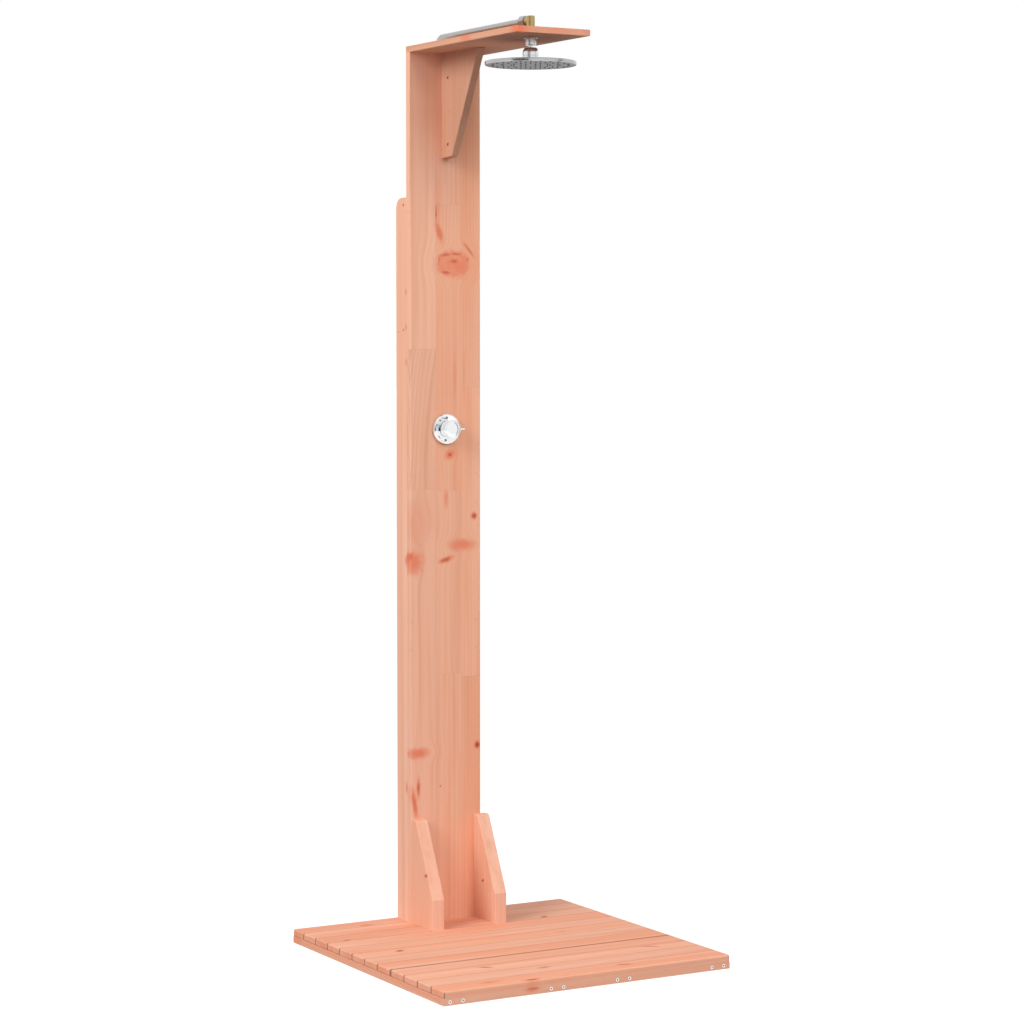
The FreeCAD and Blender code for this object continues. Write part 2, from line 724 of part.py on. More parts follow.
def make_ball_nut():
    """The cap nut that holds the head on the ball; its mouth flares so that the stem can lean."""
    slant = math.tan(math.radians(tilt_limit))
    lean = stem_radius / math.cos(math.radians(tilt_limit)) + 0.4
    top = ball_nut_above
    profile = [(nut_inner, hub_top + 0.3), (ball_nut_radius, hub_top + 0.3),
               (ball_nut_radius, top - ball_nut_round),
               (ball_nut_radius - ball_nut_round * 0.3, top - ball_nut_round * 0.4),
               (ball_nut_radius - ball_nut_round, top), (top * slant + lean, top),
               (ball_nut_lip * slant + lean, ball_nut_lip), (nut_inner, ball_nut_seat)]
    return faceted(profile, head_point(0), Z_AXIS, knob_sides)


def make_head_shell():
    """The thin upper shell: rim, shallow cone, hub and a spigot inside the ball nut."""
    wall = head_wall
    hub = head_hub_radius
    spigot = nut_inner - fitting_clearance
    profile = [(head_radius, face), (head_radius, rim_top - wall), (head_radius - wall, rim_top),
               (hub, hub_top), (spigot, hub_top), (spigot, spigot_top), (seal_pocket, spigot_top),
               (seal_pocket, seal_low), (0, seal_low), (0, hub_top - 2 * wall), (hub, hub_top - 2 * wall),
               (head_radius - wall, rim_top - 2 * wall), (head_radius - wall, face)]
    return faceted(profile, head_point(0), Z_AXIS, wide_sides)


def make_ball_seal():
    """The rubber ring under the ball, in a pocket of the head's spigot."""
    inner, outer = 4.2, seal_pocket - 0.1
    heights = [-math.sqrt((ball_radius + 0.25) ** 2 - radius ** 2) for radius in (inner, outer)]
    return faceted([(inner, seal_low), (outer, seal_low), (outer, heights[1]), (inner, heights[0])],
                   head_point(0), Z_AXIS, hidden_sides)


def nozzle_places():
    places = []
    for ring in range(1, nozzle_rings + 1):
        count = nozzles_per_ring * ring
        for k in range(count):
            angle = 2 * math.pi * (k + 0.5 * (ring % 2)) / count
            places.append(V(ring * nozzle_ring_pitch * math.cos(angle),
                            ring * nozzle_ring_pitch * math.sin(angle), 0))
    return places


plate_low = face + plate_inset


def make_nozzle_plate():
    radius = head_radius - head_wall - plate_gap
    profile = [(0, 0), (radius, 0), (radius, plate_thick), (0, plate_thick)]
    return faceted(profile, head_point(plate_low), Z_AXIS, wide_sides)


def make_nozzles():
    """Soft tapered nozzles on the plate's underside."""
    profile = [(0, 0), (nozzle_foot_radius, 0), (nozzle_tip_radius, nozzle_drop), (0, nozzle_drop)]
    return [faceted(profile, head_point(plate_low) + place, DOWN, nozzle_sides)
            for place in nozzle_places()]


def make_plate_ring():
    """The rubber ring that the plate is pressed against inside the rim."""
    outer = head_radius - head_wall - plate_ring_gap
    return ring(outer, outer - plate_ring_width, head_point(plate_low + plate_thick), Z_AXIS,
                plate_ring_thick, wide_sides)


# ---- build ------------------------------------------------------------------------------
rail_screws = Screws(countersunk, rail_screw_size, rail_screw_places())
foot_screws = Screws(countersunk, foot_screw_size, foot_screw_places())
gusset_screws = Screws(countersunk, toe_screw_size, gusset_toe_places())
bracket_screws = Screws(countersunk, board_screw_size, bracket_toe_places())
board_screws = Screws(countersunk, board_screw_size, board_screw_places())
pan_screws = Screws(pan_head, pan_screw_size, pan_screw_places())
wood_screws = [rail_screws, foot_screws, gusset_screws, bracket_screws, board_screws, pan_screws]

half_deck = deck_width / 2
wood = {
    "front_rail": block(-half_deck, half_deck, deck_front, rail_rear, 0, frame_thick),
    "rear_rail": block(-half_deck, half_deck, rear_rail_front, deck_rear, 0, frame_thick),
    "front_board": make_front_board(),
    "side_board_left": make_side_board(-1),
    "side_board_right": make_side_board(1),
    "top_board": make_top_board(),
    "top_bracket": make_bracket(),
    "gusset_left": make_gusset(gusset_left_x),
    "gusset_right": make_gusset(gusset_right_x),
}
for number, centre in enumerate(bearer_centres, 1):
    wood["bearer_%d" % number] = make_bearer(centre)
for number, span in enumerate(plank_spans(), 1):
    wood["plank_%02d" % number] = make_plank(number, span)

elbow_nut_start = V(0, head_y + elbow_arm + nut_standoff, pipe_top_z)
valve_nut_start = valve_point(pipe_setback, outlet_reach - spigot_length + nut_standoff)
olive_offset = spigot_length + 0.1
disc_front = spindle_end + 0.1
nodes = {name: drilled(shape, wood_screws) for name, shape in wood.items()}
nodes.update({
    "rail_screws": rail_screws.solids,
    "foot_screws": foot_screws.solids,
    "gusset_screws": gusset_screws.solids,
    "bracket_screws": bracket_screws.solids,
    "top_board_screws": board_screws.solids,
    "pan_screws": pan_screws.solids,
    "riser_pipe": make_pipe(),
    "pipe_clips": [drilled(make_clip(height), [pan_screws]) for height in clip_heights],
    "elbow": make_elbow(),
    "pipe_nuts": [make_nut(elbow_nut_start, Y_AXIS), make_nut(valve_nut_start, Z_AXIS)],
    "pipe_olives": [make_olive(elbow_nut_start + V(0, olive_offset, 0), Y_AXIS),
                    make_olive(valve_nut_start + V(0, 0, olive_offset), Z_AXIS)],
    "board_washer": ring(washer_radius, drop_radius + washer_play, V(0, head_y, top_under), DOWN,
                         washer_thick),
    "valve_body": make_valve_body(),
    "valve_cartridge": make_cartridge(),
    "fixed_disc": make_disc(disc_front + disc_thick),
    "cartridge_seal": ring(cartridge_radius - seal_margin, cartridge_radius - seal_width,
                           valve_point(cartridge_end), Y_AXIS, seal_thick),
    "valve_sleeve": ring(sleeve_radius, sleeve_radius - sleeve_wall, valve_point(-sleeve_start), FORWARD,
                         cover_depth + sleeve_entry - 2 * sleeve_start),
    "rosette": make_rosette(),
    "rosette_gasket": ring(rosette_radius - seal_margin, sleeve_radius + gasket_inset,
                           valve_point(-front_board_thick), FORWARD, gasket_thick),
    "ball_stem": make_ball_stem(),
    "handle": make_handle(),
    "handle_cap": faceted([(0, 0), (cap_radius, 0), (cap_radius, cap_thick), (0, cap_thick)],
                          valve_point(handle_front), Y_AXIS, knob_sides),
    "lever_pin": make_lever(),
    "spindle": make_spindle(),
    "moving_disc": make_disc(disc_front),
    "ball_liner_upper": make_liner(1),
    "ball_liner_lower": make_liner(-1),
    "ball_nut": make_ball_nut(),
    "ball_seal": make_ball_seal(),
    "head_shell": make_head_shell(),
    "nozzle_plate": make_nozzle_plate(),
    "nozzles": make_nozzles(),
    "plate_ring": make_plate_ring(),
})

os.makedirs("parts", exist_ok=True)
for name, shape in nodes.items():
    if isinstance(shape, list):
        shape = Part.makeCompound(shape)
    shape.exportStep("parts/%s.step" % name)
print(len(nodes), "nodes; deck depth %.1f; top at %.1f" % (deck_depth, top_over))
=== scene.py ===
"""Outdoor shower post: the finish of its timber, steel, brass and rubber, and its turned fittings in full detail.

Metres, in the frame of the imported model: X to the right, Y from the deck's front to the post, Z up.
"""
import math

import bmesh
import bpy
from bpy.props import FloatProperty, FloatVectorProperty, IntProperty, PointerProperty
from mathutils import Matrix, Vector


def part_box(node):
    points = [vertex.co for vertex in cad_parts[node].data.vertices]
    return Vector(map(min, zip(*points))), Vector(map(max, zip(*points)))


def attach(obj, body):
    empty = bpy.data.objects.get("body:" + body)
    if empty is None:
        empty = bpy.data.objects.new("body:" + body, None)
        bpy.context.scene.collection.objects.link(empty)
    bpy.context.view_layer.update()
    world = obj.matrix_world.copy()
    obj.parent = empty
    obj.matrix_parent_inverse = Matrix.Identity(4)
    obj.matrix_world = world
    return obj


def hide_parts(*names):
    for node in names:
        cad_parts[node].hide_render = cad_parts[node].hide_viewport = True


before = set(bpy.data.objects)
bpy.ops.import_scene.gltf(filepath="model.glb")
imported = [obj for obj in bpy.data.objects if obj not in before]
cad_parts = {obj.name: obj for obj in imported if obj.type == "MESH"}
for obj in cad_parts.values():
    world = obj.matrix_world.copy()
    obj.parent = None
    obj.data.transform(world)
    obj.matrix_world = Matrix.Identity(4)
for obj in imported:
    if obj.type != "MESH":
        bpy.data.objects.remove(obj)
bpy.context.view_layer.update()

bl_info = {
    "name": "Outdoor shower post",
    "version": (1, 0, 0),
    "blender": (4, 5, 0),
    "location": "View3D > Sidebar > Shower Post",
    "description": "Finishes the timber of an outdoor shower post and models its turned fittings",
    "category": "Object",
}

X_AXIS, Y_AXIS, Z_AXIS = Vector((1, 0, 0)), Vector((0, 1, 0)), Vector((0, 0, 1))
FORWARD, DOWN = -Y_AXIS, -Z_AXIS


def corners(node):
    """The lowest and the highest corner of a node of the model."""
    low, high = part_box(node)
    return Vector(low), Vector(high)


def middle(node):
    low, high = corners(node)
    return (low + high) / 2


# ---- sizes and colours that a user would change -------------------------------------------
def length(label, text, default, low=0.0):
    return FloatProperty(name=label, description=text, default=default, min=low, unit="LENGTH", subtype="DISTANCE",
                         precision=5)


def amount(label, text, default, low=0.0, high=1.0):
    return FloatProperty(name=label, description=text, default=default, min=low, max=high)


def colour(label, text, default):
    return FloatVectorProperty(name=label, description=text, default=default, size=3, min=0.0, max=1.0,
                               subtype="COLOR")


class TimberLook(bpy.types.PropertyGroup):
    """Colours and grain of the planed boards"""
    post_pale: colour("Post wood", "Early wood of the post's boards", (0.84, 0.455, 0.315))
    post_late: colour("Post late wood", "Darker rings of the post's boards", (0.70, 0.325, 0.20))
    post_blush: colour("Post blush", "Orange zones between the pale ones", (0.83, 0.395, 0.25))
    side_pale: colour("Side wood", "Early wood of the palest boards", (0.88, 0.525, 0.395))
    deck_pale: colour("Deck wood", "Early wood of the planks", (0.85, 0.465, 0.33))
    deck_late: colour("Deck late wood", "Darker rings of the planks", (0.76, 0.335, 0.205))
    deck_blush: colour("Deck blush", "Reddish zones of the planks", (0.82, 0.36, 0.225))
    sapwood: colour("Sapwood", "Pale outer strip of the front board", (0.84, 0.49, 0.36))
    knot_red: colour("Knot", "Red wood in and round a knot", (0.76, 0.20, 0.11))
    knot_dark: colour("Knot's core", "Dark wood in a dead knot", (0.24, 0.05, 0.025))
    filler: colour("Filler", "Filled screw holes of the front board", (0.70, 0.42, 0.315))
    # this colour is grime and painted shade: it darkens the planks beside an open joint and at the sides of their
    # ends, where shade falls in the joints
    joint_grime_and_shade: colour("Grime", "What gathers in the joints between planks", (0.22, 0.075, 0.04))
    ring_pitch: length("Ring pitch", "Width of one year's growth", 0.0078, 0.001)
    wander: length("Wander", "How far the rings wander along a board", 0.016)
    fibre_depth: length("Fibre depth", "Depth of the planed fibre", 0.00025)
    roughness: amount("Roughness", "Roughness of the planed face", 0.74)


class HeadSizes(bpy.types.PropertyGroup):
    """The rain head"""
    wall: length("Wall", "Thickness of the pressed shell", 0.0016, 0.0005)
    rim_round: length("Rim rounding", "Radius of the rim's edges", 0.0016)
    nozzle_pitch: length("Nozzle pitch", "From one ring of nozzles to the next", 0.0205, 0.005)
    nozzle_rings: IntProperty(name="Nozzle rings", description="Rings of nozzles", default=4, min=1, max=8)
    nozzles_per_ring: IntProperty(name="Nozzles per ring", description="More in each ring than in the one inside it",
                                  default=6, min=1, max=12)
    nozzle_foot: length("Nozzle foot", "Radius of a nozzle where it leaves the plate", 0.0019)
    nozzle_tip: length("Nozzle tip", "Radius of a nozzle's tip", 0.0012)
    steps: IntProperty(name="Steps", description="Sides of the turned pieces", default=96, min=24, max=256)


class ValveSizes(bpy.types.PropertyGroup):
    """The valve's cover plate and handle"""
    plate_round: length("Plate rounding", "How wide the cover plate's front falls away", 0.0035)
    plate_edge: length("Plate edge", "Thickness of the cover plate at its edge", 0.002)
    handle_round: length("Handle rounding", "Radius of the handle's edges", 0.0012)
    handle_taper: length("Handle taper", "How much smaller the handle's radius is at its back", 0.0020)
    steps: IntProperty(name="Steps", description="Sides of the turned pieces", default=96, min=24, max=256)


class ScrewSizes(bpy.types.PropertyGroup):
    """Screws of the timber"""
    head: length("Head radius", "Radius of a countersunk head", 0.004)
    sunk_head: length("Sunk head radius", "Radius of what shows of a slanting screw's head", 0.0032)
    shank: length("Shank radius", "Radius of the shank", 0.002)
    recess: length("Recess radius", "Radius of the drive recess", 0.0019)
    recess_depth: length("Recess depth", "Depth of the drive recess", 0.0016)


class StageLook(bpy.types.PropertyGroup):
    """Camera, light and floor"""
    camera_place: FloatVectorProperty(name="Camera", description="Place of the camera", size=3, unit="LENGTH",
                                      subtype="TRANSLATION", default=(-3.0417, -5.3083, 1.3423))
    camera_turn: FloatProperty(name="Camera turn", description="Camera's turn about the upright",
                               default=math.radians(-29.918), subtype="ANGLE")
    camera_tilt: FloatProperty(name="Camera tilt", description="Camera's turn up from straight down",
                               default=math.radians(86.576), subtype="ANGLE")
    focal: FloatProperty(name="Focal length", description="Of a 36 mm wide frame", default=98.92, min=10)
    sky: amount("Sky", "Strength of the soft light from all round", 0.47, 0.0, 2.0)
    key_power: FloatProperty(name="Key power", description="Power of the soft box at the left", default=335.0,
                             subtype="POWER")
    key_size: length("Key size", "Width of the soft box at the left", 4.0)
    fill_power: FloatProperty(name="Fill power", description="Power of the soft box in front", default=238.0,
                              subtype="POWER")
    fill_size: length("Fill size", "Width of the soft box in front", 3.4)
    floor_pale: amount("Floor", "Brightness that the floor shows by itself", 0.86)


groups = {"timber": TimberLook, "head": HeadSizes, "valve": ValveSizes, "screws": ScrewSizes, "stage": StageLook}


def settings(context, name):
    return getattr(context.scene, "shower_" + name)


# ---- node trees ---------------------------------------------------------------------------
class Tree:
    """Builds a node tree: each method adds one node and gives back its output."""

    def __init__(self, tree):
        self.tree = tree

    def add(self, kind, **options):
        made = self.tree.nodes.new(kind)
        for key, value in options.items():
            setattr(made, key, value)
        return made

    def feed(self, socket, value):
        if isinstance(value, bpy.types.NodeSocket):
            self.tree.links.new(value, socket)
        else:
            socket.default_value = value

    def maths(self, operation, *values, clamp=False):
        made = self.add("ShaderNodeMath", operation=operation, use_clamp=clamp)
        for socket, value in zip(made.inputs, values):
            self.feed(socket, value)
        return made.outputs[0]

    def plus(self, first, second):
        return self.maths("ADD", first, second)

    def minus(self, first, second):
        return self.maths("SUBTRACT", first, second)

    def times(self, first, second):
        return self.maths("MULTIPLY", first, second)

    def over(self, first, second):
        return self.maths("DIVIDE", first, second)

    def most(self, first, second):
        return self.maths("MAXIMUM", first, second)

    def times_plus(self, value, factor, addend):
        return self.maths("MULTIPLY_ADD", value, factor, addend)

    def unsigned(self, value):
        return self.maths("ABSOLUTE", value)

    def vector(self, operation, *values):
        made = self.add("ShaderNodeVectorMath", operation=operation)
        for socket, value in zip(made.inputs, values):
            self.feed(socket, value)
        return made.outputs["Value" if operation == "LENGTH" else "Vector"]

    def split(self, vector):
        made = self.add("ShaderNodeSeparateXYZ")
        self.feed(made.inputs[0], vector)
        return made.outputs

    def joined(self, x, y, z):
        made = self.add("ShaderNodeCombineXYZ")
        for socket, value in zip(made.inputs, (x, y, z)):
            self.feed(socket, value)
        return made.outputs[0]

    def noise(self, vector, scale, detail=2.0, roughness=0.5):
        made = self.add("ShaderNodeTexNoise")
        self.feed(made.inputs["Vector"], vector)
        made.inputs["Scale"].default_value = scale
        made.inputs["Detail"].default_value = detail
        made.inputs["Roughness"].default_value = roughness
        return made.outputs["Fac"]

    def ramp(self, value, start, stop, low=0.0, high=1.0):
        """Smooth step from start to stop."""
        made = self.add("ShaderNodeMapRange", interpolation_type="SMOOTHSTEP")
        for label, number in (("From Min", start), ("From Max", stop), ("To Min", low), ("To Max", high)):
            made.inputs[label].default_value = number
        self.feed(made.inputs["Value"], value)
        return made.outputs["Result"]

    def blend(self, factor, first, second, mode="MIX"):
        made = self.add("ShaderNodeMix", data_type="RGBA", blend_type=mode)
        self.feed(made.inputs["Factor"], factor)
        for label, value in (("A", first), ("B", second)):
            socket = [s for s in made.inputs if s.name == label and s.type == "RGBA"][0]
            self.feed(socket, value if isinstance(value, bpy.types.NodeSocket) else (*value, 1.0))
        return [s for s in made.outputs if s.type == "RGBA"][0]

    def group(self, name, **values):
        made = self.add("ShaderNodeGroup", node_tree=bpy.data.node_groups[name])
        for label, value in values.items():
            self.feed(made.inputs[label.replace("_", " ")], value)
        return made.outputs


def new_group(name, inputs, outputs, vectors=()):
    """A node group: its inputs with their defaults, its outputs by name, and which of those are vectors."""
    tree = bpy.data.node_groups.new(name, "ShaderNodeTree")
    for label, default in inputs.items():
        kind = "NodeSocketFloat" if isinstance(default, float) else "NodeSocketVector"
        tree.interface.new_socket(name=label, in_out="INPUT", socket_type=kind).default_value = default
    for label in outputs:
        kind = "NodeSocketVector" if label in vectors else "NodeSocketFloat"
        tree.interface.new_socket(name=label, in_out="OUTPUT", socket_type=kind)
    build = Tree(tree)
    return build, build.add("NodeGroupInput").outputs, build.add("NodeGroupOutput").inputs


def grain_group():
    """Year rings about a pith line along Z, cut by the board's faces, with fibre and slow changes of tone."""
    t, given, out = new_group(
        "board grain",
        {"Vector": (0, 0, 0), "Pith X": 0.0, "Pith Y": 0.1, "Ring Pitch": 0.005, "Wander": 0.012, "Seed": 0.0},
        ("Late Wood", "Fibre", "Tone", "Streak"))
    seeded = t.vector("ADD", given["Vector"], t.joined(given["Seed"], t.times(given["Seed"], 1.7),
                                                       t.times(given["Seed"], 0.6)))
    x, y = t.split(given["Vector"])[:2]

    def drawn_out(across, along, *options):
        """Noise of different scales across and along the grain."""
        return t.noise(t.vector("MULTIPLY", seeded, (across, across, along)), 1.0, *options)

    slow = drawn_out(5.0, 1.3, 1.0)
    wander = t.times(t.minus(slow, 0.5), given["Wander"])
    close = drawn_out(30.0, 4.0, 1.0)
    wander = t.plus(wander, t.times(t.minus(close, 0.5), 0.003))
    across = t.joined(t.minus(x, given["Pith X"]), t.minus(y, given["Pith Y"]), 0.0)
    radius = t.plus(t.vector("LENGTH", across), wander)
    phase = t.over(radius, given["Ring Pitch"])
    turn = t.maths("FRACT", phase)
    late = t.times(t.ramp(turn, 0.15, 0.80), t.ramp(turn, 1.0, 0.8))
    year = t.add("ShaderNodeTexWhiteNoise", noise_dimensions="1D")
    t.feed(year.inputs["W"], t.plus(t.maths("FLOOR", phase), given["Seed"]))
    strength = t.times_plus(year.outputs["Value"], 0.7, 0.3)
    t.feed(out["Late Wood"], t.times(late, strength))
    t.feed(out["Fibre"], drawn_out(520.0, 11.0, 3.0, 0.6))
    t.feed(out["Tone"], drawn_out(16.0, 1.0))
    t.feed(out["Streak"], drawn_out(75.0, 1.6))


def knot_group():
    """A knot at one place of a face: its red wood, its dark core and how far it pushes the rings aside."""
    t, given, out = new_group(
        "knot",
        {"Across": 0.0, "Along": 0.0, "Ragged": 0.5, "At Across": 0.0, "At Along": 0.0, "Radius": 0.005,
         "Stretch": 1.0, "Lean": 0.0, "Red": 0.5, "Dark": 0.5, "Rim": 0.0},
        ("Red", "Dark", "Bend"))
    rise = t.minus(given["Along"], given["At Along"])
    side = t.minus(t.minus(given["Across"], given["At Across"]),
                   t.times(rise, given["Lean"]))
    reach = t.vector("LENGTH", t.joined(side, t.over(rise, given["Stretch"]), 0.0))
    plain = t.over(reach, given["Radius"])
    distance = t.plus(plain, t.times(t.minus(given["Ragged"], 0.5), 0.7))
    rim = t.times(t.ramp(distance, 1.4, 1.05), t.ramp(distance, 0.7, 1.0))
    rim = t.times(rim, given["Rim"])
    red = t.times(t.ramp(distance, 1.7, 0.25), given["Red"])
    t.feed(out["Red"], t.maths("ADD", red, rim, clamp=True))
    t.feed(out["Dark"], t.times(t.ramp(distance, 1.1, 0.2), given["Dark"]))
    push = t.maths("EXPONENT", t.times(t.times(plain, plain), -0.4))
    t.feed(out["Bend"], t.times(t.times(side, push), -0.9))


def filler_group():
    """A screw hole filled and sanded flush."""
    t, given, out = new_group(
        "filled hole",
        {"Across": 0.0, "Along": 0.0, "At Across": 0.0, "At Along": 0.0, "Radius": 0.0045}, ("Mask",))
    away = t.vector("LENGTH", t.joined(t.minus(given["Across"], given["At Across"]),
                                       t.minus(given["Along"], given["At Along"]), 0.0))
    t.feed(out["Mask"], t.ramp(t.over(away, given["Radius"]), 1.1, 0.75))


def strip_group():
    """A board glued from three strips, each finger-jointed from shorter pieces."""
    t, given, out = new_group("glued strips", {"Across": 0.0, "Along": 0.0},
                              ("Shift", "Line", "Piece", "Left", "Curved"), vectors=("Shift",))
    left_edge, right_edge = -0.025, 0.041
    joints = {0: (1.014, 1.330), 1: (0.594, 1.010, 1.655), 2: (0.585, 1.245)}
    second = t.maths("GREATER_THAN", given["Across"], left_edge)
    third = t.maths("GREATER_THAN", given["Across"], right_edge)
    strip = t.plus(second, third)
    piece = t.times(strip, 7.0)
    line = t.most(line_at(t, given["Across"], left_edge, 0.0006),
                   t.times(line_at(t, given["Across"], right_edge, 0.0006), 0.5))
    for number, heights in joints.items():
        here = t.maths("COMPARE", strip, float(number), 0.4)
        for height in heights:
            above = t.times(t.maths("GREATER_THAN", given["Along"], height), here)
            piece = t.plus(piece, above)
            line = t.most(line, t.times(line_at(t, given["Along"], height, 0.0008), here))
    drawn = t.add("ShaderNodeTexWhiteNoise", noise_dimensions="1D")
    t.feed(drawn.inputs["W"], piece)
    curved = t.maths("COMPARE", piece, 1.0, 0.4)
    rise = t.minus(given["Along"], joints[0][0])
    curve = t.times(t.times(rise, rise), t.times(curved, -0.28))
    t.feed(out["Shift"], t.vector("ADD", t.vector("MULTIPLY", drawn.outputs["Color"], (0.05, 0.06, 3.0)),
                                  t.joined(curve, 0.0, 0.0)))
    t.feed(out["Line"], line)
    t.feed(out["Piece"], drawn.outputs["Value"])
    t.feed(out["Left"], t.minus(1.0, second))
    t.feed(out["Curved"], curved)


def line_at(t, value, place, half_width):
    """A thin line where value passes place."""
    away = t.unsigned(t.minus(value, place))
    return t.ramp(away, half_width, half_width * 0.3)


def smudge_group():
    """Faint marks on metal: where it is touched it is a little duller."""
    t, given, out = new_group("smudges", {"Vector": (0, 0, 0), "Clean": 0.05, "Dull": 0.12},
                              ("Roughness", "Height"))
    marks = t.ramp(t.noise(given["Vector"], 90.0, 4.0, 0.6), 0.45, 0.75)
    span = t.minus(given["Dull"], given["Clean"])
    t.feed(out["Roughness"], t.times_plus(marks, span, given["Clean"]))
    t.feed(out["Height"], t.noise(given["Vector"], 900.0, 2.0))


def brushed_group():
    """Fine drawing lines along Z of the mapped vector."""
    t, given, out = new_group("brushed metal", {"Vector": (0, 0, 0), "Mean": 0.3, "Spread": 0.2},
                              ("Roughness", "Height", "Tone"))
    lines = t.noise(t.vector("MULTIPLY", given["Vector"], (2600.0, 2600.0, 30.0)), 1.0, 3.0, 0.6)
    marks = t.noise(given["Vector"], 45.0, 3.0)
    sway = t.minus(t.plus(t.times(lines, 0.6), t.times(marks, 0.4)), 0.5)
    t.feed(out["Roughness"], t.times_plus(sway, given["Spread"], given["Mean"]))
    t.feed(out["Height"], lines)
    t.feed(out["Tone"], t.times_plus(marks, 0.24, 0.88))


# ---- materials ----------------------------------------------------------------------------
def bare_tree(holder):
    """The builder of a material's or a world's nodes, with none in it yet."""
    holder.use_nodes = True
    holder.node_tree.nodes.clear()
    return Tree(holder.node_tree)


def new_material(name):
    """A material with its surface shader's inputs, and the builder of its nodes."""
    material = bpy.data.materials.new(name)
    t = bare_tree(material)
    shader = t.add("ShaderNodeBsdfPrincipled")
    t.feed(t.add("ShaderNodeOutputMaterial").inputs["Surface"], shader.outputs["BSDF"])
    return material, t, shader.inputs


def bump(t, height, distance, strength=1.0):
    made = t.add("ShaderNodeBump")
    made.inputs["Strength"].default_value = strength
    made.inputs["Distance"].default_value = distance
    t.feed(made.inputs["Height"], height)
    return made.outputs["Normal"]


# turns that bring Z, which drawing lines run along, to another axis
turns = {"Z": (0, 0, 0), "X": (0, math.radians(-90), 0)}


